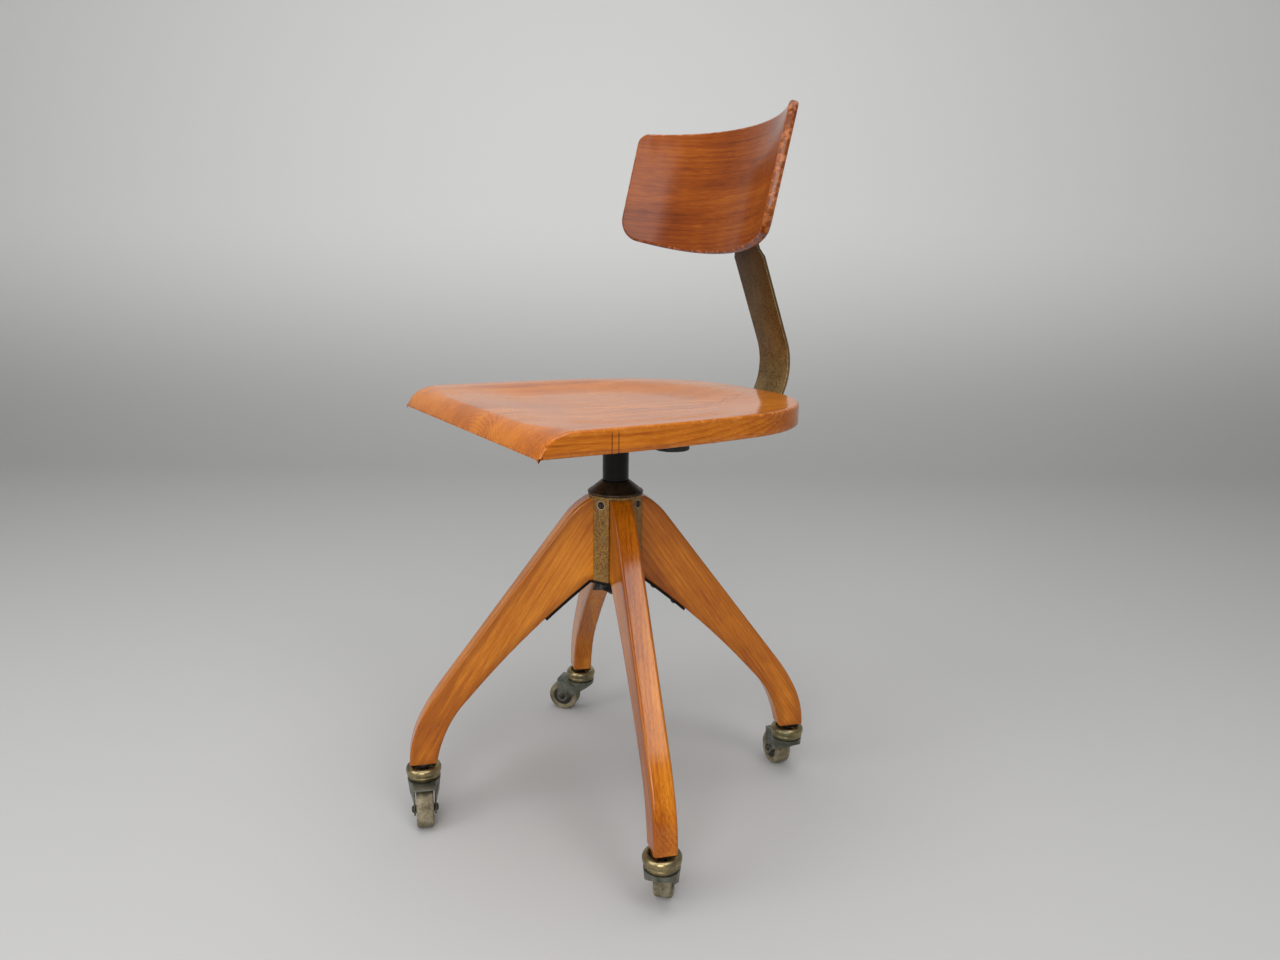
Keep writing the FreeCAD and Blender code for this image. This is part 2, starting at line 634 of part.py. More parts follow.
def seat():
    """The saddle seat: a board with a rounded rear, a waterfall front and a dished top."""
    body = new_body("seat_board")
    plan = new_sketch(body, "XY_Plane", "Plan", "dim.seat_bottom")
    behind = dim.seat_rear - dim.seat_shoulder_round - dim.seat_wide_at
    turn = math.asin(behind / (dim.seat_side_round - dim.seat_shoulder_round))
    hip_x = dim.seat_half - dim.seat_side_round * (1 - math.cos(turn))
    hip_y = dim.seat_wide_at + dim.seat_side_round * math.sin(turn)
    rear_x = hip_x - dim.seat_shoulder_round * math.cos(turn)
    side_arc, shoulder_arc = ("dim.seat_side_round", "left"), ("dim.seat_shoulder_round", "left")
    trace(
        plan,
        ("-dim.seat_front_half", "dim.seat_front"),
        ("dim.seat_front_half", "dim.seat_front"),
        ("dim.seat_half", "dim.seat_wide_at"),
        (hip_x, hip_y, *side_arc),
        (rear_x, "dim.seat_rear", *shoulder_arc),
        (-rear_x, "dim.seat_rear"),
        (-hip_x, hip_y, *shoulder_arc),
        ("-dim.seat_half", "dim.seat_wide_at", *side_arc),
    )
    pad(body, plan, "dim.seat_top - dim.seat_bottom")
    fall = new_sketch(body, "YZ_Plane", "Waterfall")
    trace(
        fall,
        ("dim.seat_front", "dim.seat_bottom"),
        ("dim.fall_knee_y", "dim.fall_knee_z", "dim.fall_round", "right"),
        ("dim.fall_start", "dim.seat_top", "dim.fall_ease", "right"),
        ("dim.fall_start", "dim.seat_top + 5"),
        ("dim.seat_front - 5", "dim.seat_top + 5"),
        ("dim.seat_front - 5", "dim.seat_bottom"),
    )
    front = pocket(body, fall, both_ways=True)

    def outline_edge(edge, level):
        middle, box = edge.CenterOfMass, edge.BoundBox
        flat = box.ZLength < 1e-3 and abs(middle.z - level) < 1e-3
        return flat and middle.y > dim.fall_start + 1

    top = round_edges(body, front, "dim.seat_edge", lambda edge: outline_edge(edge, dim.seat_top))
    round_edges(body, top, "dim.seat_low_edge", lambda edge: outline_edge(edge, dim.seat_bottom))
    bottom = Vector(0, 0, dim.seat_bottom)
    for spot in pan_screw_spots():
        drill(body, spot + bottom, Vector(0, 0, 1), "dim.screw_hole", "dim.screw_long - 4")
    cut = doc.addObject("Part::Cut", "seat")
    cut.Label = "seat"
    cut.Base = body
    cut.Tool = dish_tool()
    doc.recompute()
    keep(cut)


def bar_pivot():
    """The backrest's pivot: up the bar's leaning part, from the end of its bend."""
    lean = math.radians(dim.bar_lean)
    outward = Vector(0, math.cos(lean), math.sin(lean))
    along = Vector(0, -math.sin(lean), math.cos(lean))
    centre = Vector(0, dim.bar_bend_y, dim.bar_low + dim.bar_bend_round)
    return centre + outward * (dim.bar_bend_round - dim.bar_thick / 2) + along * dim.bar_rise


def back_bar():
    """Flat spring steel: along under the seat, round one bend and up to the backrest's pivot."""
    body = new_body("back_bar")
    lean = math.radians(dim.bar_lean)
    outward, pivot = Vector(0, math.cos(lean), math.sin(lean)), bar_pivot()
    centre = Vector(0, dim.bar_bend_y, dim.bar_low + dim.bar_bend_round)
    inner_round = dim.bar_bend_round - dim.bar_thick
    outer_end, inner_end = centre + outward * dim.bar_bend_round, centre + outward * inner_round
    outer_top, inner_top = pivot + outward * (dim.bar_thick / 2), pivot - outward * (dim.bar_thick / 2)
    side = new_sketch(body, "YZ_Plane", "Side")
    trace(
        side,
        ("dim.bar_front", "dim.bar_low"),
        ("dim.bar_bend_y", "dim.bar_low"),
        (outer_end.y, outer_end.z, "dim.bar_bend_round", "left"),
        (outer_top.y, outer_top.z),
        (inner_top.y, inner_top.z),
        (inner_end.y, inner_end.z),
        ("dim.bar_bend_y", "dim.bar_low + dim.bar_thick", inner_round, "right"),
        ("dim.bar_front", "dim.bar_low + dim.bar_thick"),
    )
    pad(body, side, "dim.bar_wide", both_ways=True)
    waist = new_sketch(body, "XZ_Plane", "Waist")
    narrow, wide = dim.bar_top_wide / 2, dim.bar_wide / 2
    high = pivot.z - dim.bar_waist
    for side_sign in (-1, 1):
        trace(
            waist,
            (side_sign * narrow, high),
            (side_sign * (wide + 0.5), high - dim.bar_waist_run),
            (side_sign * (wide + 0.5), pivot.z + 5),
            (side_sign * narrow, pivot.z + 5),
        )
    pocket(body, waist, both_ways=True)
    cope = new_sketch(body, "YZ_Plane", "Cope")
    circle(cope, pivot.y, pivot.z, "dim.knuckle_radius + dim.run_gap")
    pocket(body, cope, both_ways=True)
    slot = new_sketch(body, "XY_Plane", "ScrewSlot", "dim.bar_low + dim.bar_thick + 1")
    half, rear = dim.bar_slot_wide / 2, dim.clamp_y
    front = rear - dim.clamp_travel
    trace(slot, (-half, front), (half, front, half, "left"), (half, rear), (-half, rear, half, "left"))
    pocket(body, slot, "dim.bar_thick + 2")
    keep(body)
    knuckle = new_body("bar_knuckle")
    ring = new_sketch(knuckle, "YZ_Plane", "Ring")
    circle(ring, 0, 0, "dim.knuckle_radius")
    circle(ring, 0, 0, "dim.knuckle_bore")
    pad(knuckle, ring, "dim.knuckle_long", both_ways=True)
    keep(knuckle, Placement(pivot, Rotation()))


def clamp():
    """The clamp: plate above the bar, washer under the pan and a lobed knob on a screw."""
    at_clamp = Placement(Vector(0, dim.clamp_y, 0), Rotation())
    plate = new_body("clamp_plate")
    plan = new_sketch(plate, "XY_Plane", "Plan", "dim.bar_low + dim.bar_thick + dim.run_gap")
    rectangle(plan, "-dim.plate_long / 2", "-dim.plate_wide / 2", "dim.plate_long / 2", "dim.plate_wide / 2")
    circle(plan, 0, 0, "dim.clamp_screw + dim.run_gap")
    pad(plate, plan, "dim.plate_thick")
    keep(plate, at_clamp)
    washer_low = "dim.pan_low - dim.washer_thick"
    keep(tube("clamp_washer", "dim.clamp_hole", "dim.washer_radius", washer_low, "dim.pan_low"), at_clamp)
    knob = new_body("clamp_knob")
    grip = new_sketch(knob, "XY_Plane", "Grip", "dim.knob_low")
    circle(grip, 0, 0, "dim.knob_radius")
    disc = pad(knob, grip, "dim.knob_top - dim.knob_low")
    rim = dim.knob_low + 1
    round_edges(knob, disc, "dim.knob_edge", lambda edge: edge.Closed and edge.CenterOfMass.z < rim)
    scoop = new_sketch(knob, "XY_Plane", "Scoop", "dim.knob_top")
    circle(scoop, "dim.knob_scoop_ring", 0, "dim.knob_scoop")
    around(knob, pocket(knob, scoop), "dim.knob_lobes")
    neck = new_sketch(knob, "XY_Plane", "Neck", "dim.knob_top")
    circle(neck, 0, 0, "dim.knob_neck")
    pad(knob, neck, "dim.pan_low - dim.washer_thick - dim.run_gap - dim.knob_top")
    screw = new_sketch(knob, "XY_Plane", "Screw", "dim.knob_top")
    circle(screw, 0, 0, "dim.clamp_screw")
    pad(knob, screw, "dim.clamp_screw_top - dim.knob_top")
    keep(knob, at_clamp)


def panel_place():
    return Placement(Vector(0, dim.panel_y, dim.panel_z), Rotation(Vector(1, 0, 0), -dim.panel_lean))


def curved_slab(body, inner, thick, half_turn, low, high):
    """A slab bent about an upright axis in front of it, its front face through the origin."""
    plan = new_sketch(body, "XY_Plane", "Curve", low)
    turn = math.radians(half_turn)
    outer, axis_y = inner + thick, -dim.panel_round
    x_in, y_in = inner * math.sin(turn), axis_y + inner * math.cos(turn)
    x_out, y_out = outer * math.sin(turn), axis_y + outer * math.cos(turn)
    trace(plan, (x_in, y_in, inner, "right"), (x_out, y_out), (-x_out, y_out, outer, "left"), (-x_in, y_in))
    return pad(body, plan, high - low)


def backrest():
    """The backrest: a bent ply panel with bowed top and bottom and rounded corners and edges."""
    body = new_body("backrest")
    curved_slab(body, dim.panel_round, dim.panel_thick, dim.panel_half_turn, -dim.panel_down, dim.panel_up)
    reach = dim.panel_round
    for name, sign, middle, bow, side in (
        ("TopBow", 1, dim.panel_up, dim.panel_top_bow, "right"),
        ("LowBow", -1, dim.panel_down, dim.panel_low_bow, "left"),
    ):
        trim = new_sketch(body, "XZ_Plane", name)
        end = sign * (middle - bow + math.sqrt(bow**2 - reach**2))
        past = sign * (middle + 5)
        trace(trim, (-reach, end), (reach, end, bow, side), (reach, past), (-reach, past))
        slab = pocket(body, trim, both_ways=True)

    def corner(edge, sign):
        return edge.Length < 1.5 * dim.panel_thick and edge.CenterOfMass.z * sign > 0

    def on_skin(edge):
        depths = [math.hypot(end.X, end.Y + dim.panel_round) for end in edge.Vertexes]
        return max(depths) - min(depths) < 1e-3

    top = round_edges(body, slab, "dim.panel_top_corner", lambda edge: corner(edge, 1))
    low = round_edges(body, top, "dim.panel_low_corner", lambda edge: corner(edge, -1))
    round_edges(body, low, "dim.panel_edge", on_skin)
    pivot = panel_place().inverse().multVec(bar_pivot())
    for place in panel_screw_places(pivot):
        spot = place.multVec(Vector(0, 0, 0))
        inward = place.Rotation.multVec(Vector(0, 0, 1))
        drill(body, spot, inward, "dim.screw_hole", "dim.panel_screw_long")
    keep(body, panel_place())


def panel_screw_places(pivot):
    """The four screws of the backrest's bracket, square to the panel's curve."""
    places = []
    back = dim.panel_round + dim.panel_thick + dim.strap_gap + dim.ear_thick
    for side in (-1, 1):
        turn = math.radians(side * dim.panel_screw_turn)
        out = Vector(math.sin(turn), math.cos(turn), 0)
        for step in (-0.5, 0.5):
            spot = Vector(0, -dim.panel_round, pivot.z + step * dim.panel_screw_step) + out * back
            places.append(facing(spot, out * -1))
    return places


def backrest_bracket():
    """A curved plate on the panel's back with two ears that straddle the bar's knuckle."""
    body = new_body("backrest_bracket")
    pivot = panel_place().inverse().multVec(bar_pivot())
    root_y, root = dim.panel_thick + 0.5, dim.ear_root / 2
    ears = new_sketch(body, "YZ_Plane", "Ears")
    trace(
        ears,
        (root_y, pivot.z - root),
        (pivot.y, pivot.z - dim.ear_round),
        (pivot.y, pivot.z + dim.ear_round, "dim.ear_round", "left"),
        (root_y, pivot.z + root),
    )
    pad(body, ears, "dim.ear_gap + 2 * dim.ear_thick", both_ways=True)
    gap = new_sketch(body, "YZ_Plane", "Gap")
    rectangle(gap, root_y - 5, pivot.z - 2 * root, pivot.y + 20, pivot.z + 2 * root)
    pocket(body, gap, "dim.ear_gap", both_ways=True)
    inner = dim.panel_round + dim.panel_thick + dim.strap_gap
    low, high = pivot.z - dim.plate_high / 2, pivot.z + dim.plate_high / 2
    curved_slab(body, inner, dim.ear_thick, dim.plate_half_turn, low, high)
    start = Vector(-dim.ear_gap, pivot.y, pivot.z)
    drill(body, start, Vector(1, 0, 0), "dim.knuckle_bore", "2 * dim.ear_gap")
    for place in panel_screw_places(pivot):
        spot = place.multVec(Vector(0, 0, 0))
        inward = place.Rotation.multVec(Vector(0, 0, 1))
        drill(body, spot - inward, inward, "dim.screw_hole", "dim.ear_thick + 2")
    keep(body, panel_place())


def pivot_pin():
    """The pin through ears and knuckle, domed at one end and held by a nut at the other."""
    half = "dim.ear_gap / 2 + dim.ear_thick"
    pin = turned(
        "pivot_pin",
        (0, f"-({half}) - dim.pin_nut_thick - 2"),
        ("dim.pin_radius", f"-({half}) - dim.pin_nut_thick - 2"),
        ("dim.pin_radius", half),
        ("dim.pin_head", half),
        ("dim.pin_head * dim.head_crown", f"{half} + dim.pin_head_thick"),
        (0, f"{half} + dim.pin_head_thick"),
    )
    across = Placement(bar_pivot(), Rotation(Vector(0, 1, 0), 90))
    keep(pin, across)
    nut_low = f"-({half}) - dim.pin_nut_thick"
    nut_bore = "dim.pin_radius + dim.run_gap"
    keep(hex_nut("pivot_nut", "dim.pin_nut_flats", nut_bore, nut_low, "dim.pin_nut_thick"), across)


def screw_pattern(label, long, head="dim.screw_head"):
    """A round-head screw along +Z, its head below its seat at z = 0."""
    return turned(
        label,
        (0, "-dim.screw_head_high"),
        (f"{head} * dim.head_crown", "-dim.screw_head_high"),
        (head, 0),
        ("dim.screw_radius", 0),
        ("dim.screw_radius", f"{long} - 2"),
        (0, long),
    )


def screws():
    plain = screw_pattern("screw_pattern", "dim.screw_long - 1")
    under = Vector(0, 0, dim.seat_bottom - dim.pan_thick)
    group("seat_screws", plain, [Placement(spot + under, Rotation()) for spot in pan_screw_spots()])
    low = strap_low() - dim.strap_thick
    strap_places = []
    hub_places = []
    for quarter in range(4):
        turn = leg_place(quarter)
        strap_places += [turn.multiply(facing(spot, up)) for spot, up in strap_screw_seats()]
        flange_spot = BETWEEN * dim.flange_screw + Vector(0, 0, low)
        strap_places.append(turn.multiply(Placement(flange_spot, Rotation())))
        hub_spot = BETWEEN * dim.hub_flat + Vector(0, 0, dim.hub_screw_z)
        hub_places.append(turn.multiply(facing(hub_spot, BETWEEN * -1)))
    group("strap_screws", plain, strap_places)
    hub_screw = screw_pattern("hub_screw_pattern", "dim.hub_screw_long", "dim.hub_screw_head")
    group("hub_screws", hub_screw, hub_places)
    panel_screw = screw_pattern("panel_screw_pattern", "dim.panel_screw_long")
    pivot = panel_place().inverse().multVec(bar_pivot())
    on_panel = [panel_place().multiply(place) for place in panel_screw_places(pivot)]
    group("bracket_screws", panel_screw, on_panel)


def caster_place(quarter, heading=0):
    turn = math.radians(dim.base_turn + 90 * quarter)
    spot = Vector(math.cos(turn), math.sin(turn), 0) * dim.caster_ring
    return Placement(spot, Rotation(Vector(0, 0, 1), heading))


def caster_mounts():
    """What stays with the legs at each caster: stem, bell and ball race."""
    places = [caster_place(quarter) for quarter in range(4)]
    stem = turned(
        "stem_pattern",
        (0, "dim.rivet_low"),
        ("dim.rivet_radius", "dim.rivet_low"),
        ("dim.rivet_radius", "dim.rivet_top"),
        ("dim.spigot_radius", "dim.rivet_top"),
        ("dim.spigot_radius", "dim.collar_low"),
        ("dim.stem_collar", "dim.collar_low"),
        ("dim.stem_collar", "dim.foot_z"),
        ("dim.stem_radius", "dim.foot_z"),
        ("dim.stem_radius", "dim.foot_z + dim.stem_long"),
        (0, "dim.foot_z + dim.stem_long"),
    )
    group("caster_stems", stem, places)
    bell = turned(
        "bell_pattern",
        ("dim.spigot_radius + dim.run_gap", "dim.dish_floor - dim.bell_sheet"),
        ("dim.swivel_ring + 2.4", "dim.dish_floor - dim.bell_sheet"),
        ("dim.bell_rim", "dim.bell_top - 3"),
        ("dim.bell_radius - dim.bell_sheet", "dim.bell_wide_z", "dim.bell_crown - dim.bell_sheet", "right"),
        ("dim.groove_radius - dim.bell_sheet", "dim.groove_z"),
        ("dim.skirt_radius - dim.bell_sheet", "dim.skirt_z"),
        ("dim.skirt_foot - dim.bell_sheet", "dim.bell_low"),
        ("dim.skirt_foot", "dim.bell_low"),
        ("dim.skirt_radius", "dim.skirt_z"),
        ("dim.groove_radius", "dim.groove_z"),
        ("dim.bell_radius", "dim.bell_wide_z", "dim.bell_roll", "left"),
        ("dim.bell_rim + 0.4", "dim.bell_top", "dim.bell_crown", "left"),
        ("dim.bell_rim - 1.2", "dim.bell_top"),
        ("dim.swivel_ring + 0.6", "dim.dish_floor"),
        ("dim.spigot_radius + dim.run_gap", "dim.dish_floor"),
    )
    group("swivel_caps", bell, places)
    ring_in, ring_out = "dim.swivel_ring - dim.swivel_ring_half", "dim.swivel_ring + dim.swivel_ring_half"
    ring_low, ring_high = "dim.fork_top + 0.2", "dim.dish_floor - dim.bell_sheet"
    group("swivel_races", tube("race_pattern", ring_in, ring_out, ring_low, ring_high), places)


def fork_section(body, name, lift, radius, crease_x, half, rear):
    """A plan section of the fork: round in front about the swivel axis, drawn in by a tangent
    line on each side to a crease, and flat cheeks from there to the rear."""
    sketch = new_sketch(body, "XY_Plane", name, lift)
    turn = math.atan2(half, crease_x) + math.acos(radius / math.hypot(crease_x, half))
    side_x, side_y = radius * math.cos(turn), radius * math.sin(turn)
    trace(
        sketch,
        (crease_x, half),
        (side_x, side_y),
        (-radius, 0, radius, "left"),
        (side_x, -side_y, radius, "left"),
        (crease_x, -half),
        (rear, -half),
        (rear, half),
    )
    return sketch


def loft(body, kind, sections):
    feature = body.newObject(f"PartDesign::{kind}Loft", "Loft")
    feature.Profile = sections[0]
    feature.Sections = sections[1:]
    feature.Ruled = True
    doc.recompute()
    return feature


def fork(name, quarter, heading):
    """A pressed fork: a flat top plate, a round crown drawn down in front and two flat cheeks,
    open below and behind."""
    body = new_body(f"fork_{name}")
    wall, rear, past = dim.fork_sheet, dim.fork_rear, dim.fork_rear + 4
    plate, foot = dim.fork_top - dim.fork_plate, dim.fork_low
    high, low = dim.crown_radius, dim.crown_low_radius
    outside = (dim.crease_x, dim.cheek_half, rear)
    crown = fork_section(body, "Crown", dim.fork_top, high, *outside)
    loft(body, "Additive", [crown, fork_section(body, "Foot", foot, low, *outside)])
    inside = (dim.crease_in_x, dim.cheek_half - wall, past)
    crown = fork_section(body, "CrownInside", plate, high - wall, *inside)
    loft(body, "Subtractive", [crown, fork_section(body, "FootInside", foot - 1, low - wall, *inside)])
    side = new_sketch(body, "XZ_Plane", "SideOutline")
    end_round = rear - dim.wheel_trail
    cheek_front = dim.wheel_trail - math.sqrt(end_round**2 - (dim.wheel_radius - dim.cheek_z) ** 2)
    front = -dim.crown_radius - 1
    trace(
        side,
        (front, "dim.lip_z"),
        ("dim.brow_x", "dim.brow_z"),
        (cheek_front, "dim.cheek_z"),
        (rear, "dim.wheel_radius", end_round, "left"),
        (past, "dim.wheel_radius"),
        (past, foot - 2),
        (front, foot - 2),
    )
    pocket(body, side, both_ways=True)
    under_plate = Vector(0, 0, plate - 1)
    drill(body, under_plate, Vector(0, 0, 1), "dim.spigot_radius + dim.run_gap", "dim.fork_plate + 2")
    beside = Vector(dim.wheel_trail, -2 * dim.cheek_half, dim.wheel_radius)
    drill(body, beside, Vector(0, 1, 0), "dim.wheel_bore", "4 * dim.cheek_half")
    keep(body, caster_place(quarter, heading))


def wheel(name, quarter, heading):
    """The wheel: a core with bosses between the cheeks, a plain tyre and a riveted axle."""
    at_axle = Placement(Vector(dim.wheel_trail, 0, dim.wheel_radius), Rotation(Vector(1, 0, 0), 90))
    place = caster_place(quarter, heading).multiply(at_axle)
    core = turned(
        f"wheel_core_{name}",
        ("dim.wheel_bore", "-dim.boss_half"),
        ("dim.boss_radius", "-dim.boss_half"),
        ("dim.boss_radius", "-dim.core_half"),
        ("dim.tyre_bore - dim.run_gap", "-dim.core_half"),
        ("dim.tyre_bore - dim.run_gap", "dim.core_half"),
        ("dim.boss_radius", "dim.core_half"),
        ("dim.boss_radius", "dim.boss_half"),
        ("dim.wheel_bore", "dim.boss_half"),
    )
    keep(core, place)
    tyre = turned(
        f"tyre_{name}",
        ("dim.tyre_bore", "-dim.tread_half"),
        ("dim.wheel_radius - dim.tread_edge", "-dim.tread_half"),
        ("dim.wheel_radius", "dim.tread_edge - dim.tread_half"),
        ("dim.wheel_radius", "dim.tread_half - dim.tread_edge"),
        ("dim.wheel_radius - dim.tread_edge", "dim.tread_half"),
        ("dim.tyre_bore", "dim.tread_half"),
    )
    keep(tyre, place)
    head = "dim.cheek_half + dim.axle_proud"
    axle = turned(
        f"axle_{name}",
        (0, f"-({head})"),
        ("dim.axle_head * dim.head_crown", f"-({head})"),
        ("dim.axle_head", "-dim.cheek_half"),
        ("dim.axle_radius", "-dim.cheek_half"),
        ("dim.axle_radius", "dim.cheek_half"),
        ("dim.axle_head", "dim.cheek_half"),
        ("dim.axle_head * dim.head_crown", head),
        (0, head),
    )
    keep(axle, place)


def report_problems():
    """Stop if any object failed, or if a sub-part's shape is missing or not valid."""
    problems = []
    for item in doc.Objects:
        if {"Invalid", "Error"} & set(item.State):
            problems.append(f"{item.Name} in {[owner.Label for owner in item.InList]}")
    for piece in parts:
        if piece.Shape.isNull() or not piece.Shape.isValid() or not piece.Shape.Solids:
            problems.append(f"{piece.Label} has no valid shape")
    if problems:
        raise RuntimeError("; ".join(problems))


for leg_name, quarter, heading in LEGS:
    leg(leg_name, quarter)
hub_housing()
hub_cap()
guide_bush()
leg_strap()
bearing_cup()
thrust_bearing()
threaded_rod()
rod_nut_low = "dim.rod_low + 0.3"
keep(hex_nut("rod_nut", "dim.rod_nut_flats", "dim.rod_stub + dim.run_gap", rod_nut_low, "dim.rod_nut_thick"))
column_tube()
seat_bracket()
seat()
back_bar()
clamp()
backrest()
backrest_bracket()
pivot_pin()
screws()
caster_mounts()
for leg_name, quarter, heading in LEGS:
    fork(leg_name, quarter, heading)
    wheel(leg_name, quarter, heading)
doc.recompute()
report_problems()

os.makedirs("parts", exist_ok=True)
for piece in parts:
    piece.Shape.exportStep(f"parts/{piece.Label}.step")
print(f"{len(parts)} sub-parts written")
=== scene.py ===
import json
import math

import bmesh
import bpy
from mathutils import Matrix, Vector
from mathutils.bvhtree import BVHTree


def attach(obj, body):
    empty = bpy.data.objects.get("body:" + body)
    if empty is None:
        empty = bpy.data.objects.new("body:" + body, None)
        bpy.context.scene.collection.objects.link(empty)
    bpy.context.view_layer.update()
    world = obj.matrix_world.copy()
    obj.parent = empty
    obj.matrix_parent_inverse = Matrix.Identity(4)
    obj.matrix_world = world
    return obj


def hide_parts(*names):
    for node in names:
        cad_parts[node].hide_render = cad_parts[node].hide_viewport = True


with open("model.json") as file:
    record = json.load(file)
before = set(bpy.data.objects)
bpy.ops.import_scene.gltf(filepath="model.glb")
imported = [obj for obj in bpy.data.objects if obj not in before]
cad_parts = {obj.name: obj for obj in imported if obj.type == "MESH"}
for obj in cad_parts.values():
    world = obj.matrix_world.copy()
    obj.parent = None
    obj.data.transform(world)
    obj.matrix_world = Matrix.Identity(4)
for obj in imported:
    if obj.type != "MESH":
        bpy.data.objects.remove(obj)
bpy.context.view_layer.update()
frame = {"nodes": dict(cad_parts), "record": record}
MM = 0.001

# The base as it stands in the photograph
BASE_TURN = math.radians(-16.5)
LEG_NAMES = ["left", "rear", "right", "front"]
CASTER_HEADING = {"left": 140.8, "rear": 170.5, "right": 223.1, "front": 343.4}
CASTER_RING = 234.5 * MM
WHEEL_TRAIL = 25.4 * MM
WHEEL_RADIUS = 21.6 * MM
HUB_SCREW_RING, HUB_SCREW_Z = 31.4 * MM, 381 * MM
LEG_HALF = 13 * MM
LEG_SHOULDER, LEG_ANKLE = (22, 388), (234, 71)  # two points (out, up) that give the grain's slope

# The bent panel of the backrest
PANEL_BEND, PANEL_THICK = 250.5 * MM, 10 * MM
PANEL_LEAN = math.radians(13.6)
PANEL_MIDDLE = Vector((0, 149.5, 744.0)) * MM

# The camera, solved from the photograph
CAMERA_PLACE = (0.9437, -0.5212, 0.6426)
CAMERA_AZIMUTH, CAMERA_PITCH, CAMERA_ROLL = math.radians(59.55), 0.2159, 0.0125
FOCAL_PIXELS, PICTURE_WIDTH, SENSOR_WIDTH = 929.9, 1280, 36.0


class Value:
    """A number or colour that varies over a surface: the socket that carries it."""

    def __init__(self, finish, socket):
        self.finish, self.socket = finish, socket

    def _math(self, operation, *numbers):
        return self.finish.node("ShaderNodeMath", {"operation": operation}, list(numbers))

    def __add__(self, other):
        return self._math("ADD", self, other)

    def __radd__(self, other):
        return self._math("ADD", other, self)

    def __sub__(self, other):
        return self._math("SUBTRACT", self, other)

    def __rsub__(self, other):
        return self._math("SUBTRACT", other, self)

    def __mul__(self, other):
        return self._math("MULTIPLY", self, other)

    def __rmul__(self, other):
        return self._math("MULTIPLY", other, self)

    def __truediv__(self, other):
        return self._math("DIVIDE", self, other)

    def __abs__(self):
        return self._math("ABSOLUTE", self)

    def at_most(self, other):
        return self._math("MINIMUM", self, other)

    def at_least(self, other):
        return self._math("MAXIMUM", self, other)

    def fraction(self):
        return self._math("FRACT", self)

    def root(self):
        return self._math("SQRT", self)

    def ramp(self, low, high):
        """0 below low, 1 above high, smooth between; high may be the lower of the two."""
        settings = {"interpolation_type": "SMOOTHSTEP", "clamp": True}
        inputs = {"Value": self, "From Min": low, "From Max": high}
        return self.finish.node("ShaderNodeMapRange", settings, inputs)


class Finish:
    """A material whose nodes are made by node() and whose varying values are Values."""

    def __init__(self, name, **constants):
        self.material = bpy.data.materials.new(name)
        self.material.use_nodes = True
        self.tree = self.material.node_tree
        self.shader = next(node for node in self.tree.nodes if node.type == "BSDF_PRINCIPLED")
        for socket, value in constants.items():
            self.shader.inputs[socket.replace("_", " ")].default_value = value

    def node(self, kind, settings=None, inputs=None, output=0):
        made = self.tree.nodes.new(kind)
        for name, value in (settings or {}).items():
            if name == "stops":
                ramp = made.color_ramp
                while len(ramp.elements) < len(value):
                    ramp.elements.new(0.5)
                for element, (place, colour) in zip(ramp.elements, value):
                    element.position, element.color = place, (*colour, 1)
            else:
                setattr(made, name, value)
        pairs = inputs.items() if isinstance(inputs, dict) else enumerate(inputs or [])
        for key, value in pairs:
            if isinstance(value, Value):
                self.tree.links.new(value.socket, made.inputs[key])
            else:
                made.inputs[key].default_value = value
        return Value(self, made.outputs[output])

    def feed(self, **varying):
        for socket, value in varying.items():
            self.tree.links.new(value.socket, self.shader.inputs[socket.replace("_", " ")])
        return self

    def place(self):
        return self.node("ShaderNodeTexCoord", output=3)

    def attribute(self, name, output="Fac"):
        return self.node("ShaderNodeAttribute", {"attribute_name": name}, output=output)

    def stretch(self, vector, scale):
        return self.node("ShaderNodeMapping", None, {"Vector": vector, "Scale": scale})

    def noise(self, vector, scale, detail, rough):
        inputs = {"Vector": vector, "Scale": scale, "Detail": detail, "Roughness": rough}
        return self.node("ShaderNodeTexNoise", None, inputs)

    def cells(self, vector, scale):
        settings = {"feature": "SMOOTH_F1"}
        return self.node("ShaderNodeTexVoronoi", settings, {"Vector": vector, "Scale": scale}, "Distance")

    def parts(self, vector):
        return [self.node("ShaderNodeSeparateXYZ", None, [vector], output=axis) for axis in range(3)]

    def mix(self, amount, under, over):
        """Colour mixing; amount 0 gives the colour under, 1 the colour over."""
        sockets = {0: amount, 6: rgba(under), 7: rgba(over)}
        return self.node("ShaderNodeMix", {"data_type": "RGBA"}, sockets, output=2)

    def bump(self, height, strength, distance):
        inputs = {"Height": height, "Strength": strength, "Distance": distance}
        return self.node("ShaderNodeBump", None, inputs)


def rgba(colour):
    return colour if isinstance(colour, Value) else (*colour, 1)


def new_piece(name, bm, body, finish, smooth_angle=35, replaces=()):
    """Turn a bmesh into a finished piece that rides on a body."""
    mesh = bpy.data.meshes.new(name)
    for edge in bm.edges:
        edge.smooth = len(edge.link_faces) == 2 and edge.calc_face_angle(0) < math.radians(smooth_angle)
    for face in bm.faces:
        face.smooth = True
    bm.to_mesh(mesh)
    bm.free()
    piece = bpy.data.objects.new(name, mesh)
    bpy.context.scene.collection.objects.link(piece)
    mesh.materials.append(finish.material)
    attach(piece, body)
    if replaces:
        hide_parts(*replaces)
    return piece


bodies = frame["record"]["behaviour"]["bodies"]


def body_of(node):
    return next(name for name, nodes in bodies.items() if node in nodes)


def copied(node):
    """A CAD node's surface as one closed mesh, its flat faces whole again."""
    bm = bmesh.new()
    bm.from_mesh(frame["nodes"][node].data)
    bmesh.ops.remove_doubles(bm, verts=bm.verts, dist=2e-6)
    flat = math.radians(0.4)
    bmesh.ops.dissolve_limit(
        bm, angle_limit=flat, verts=bm.verts, edges=bm.edges, use_dissolve_boundaries=False
    )
    return bm


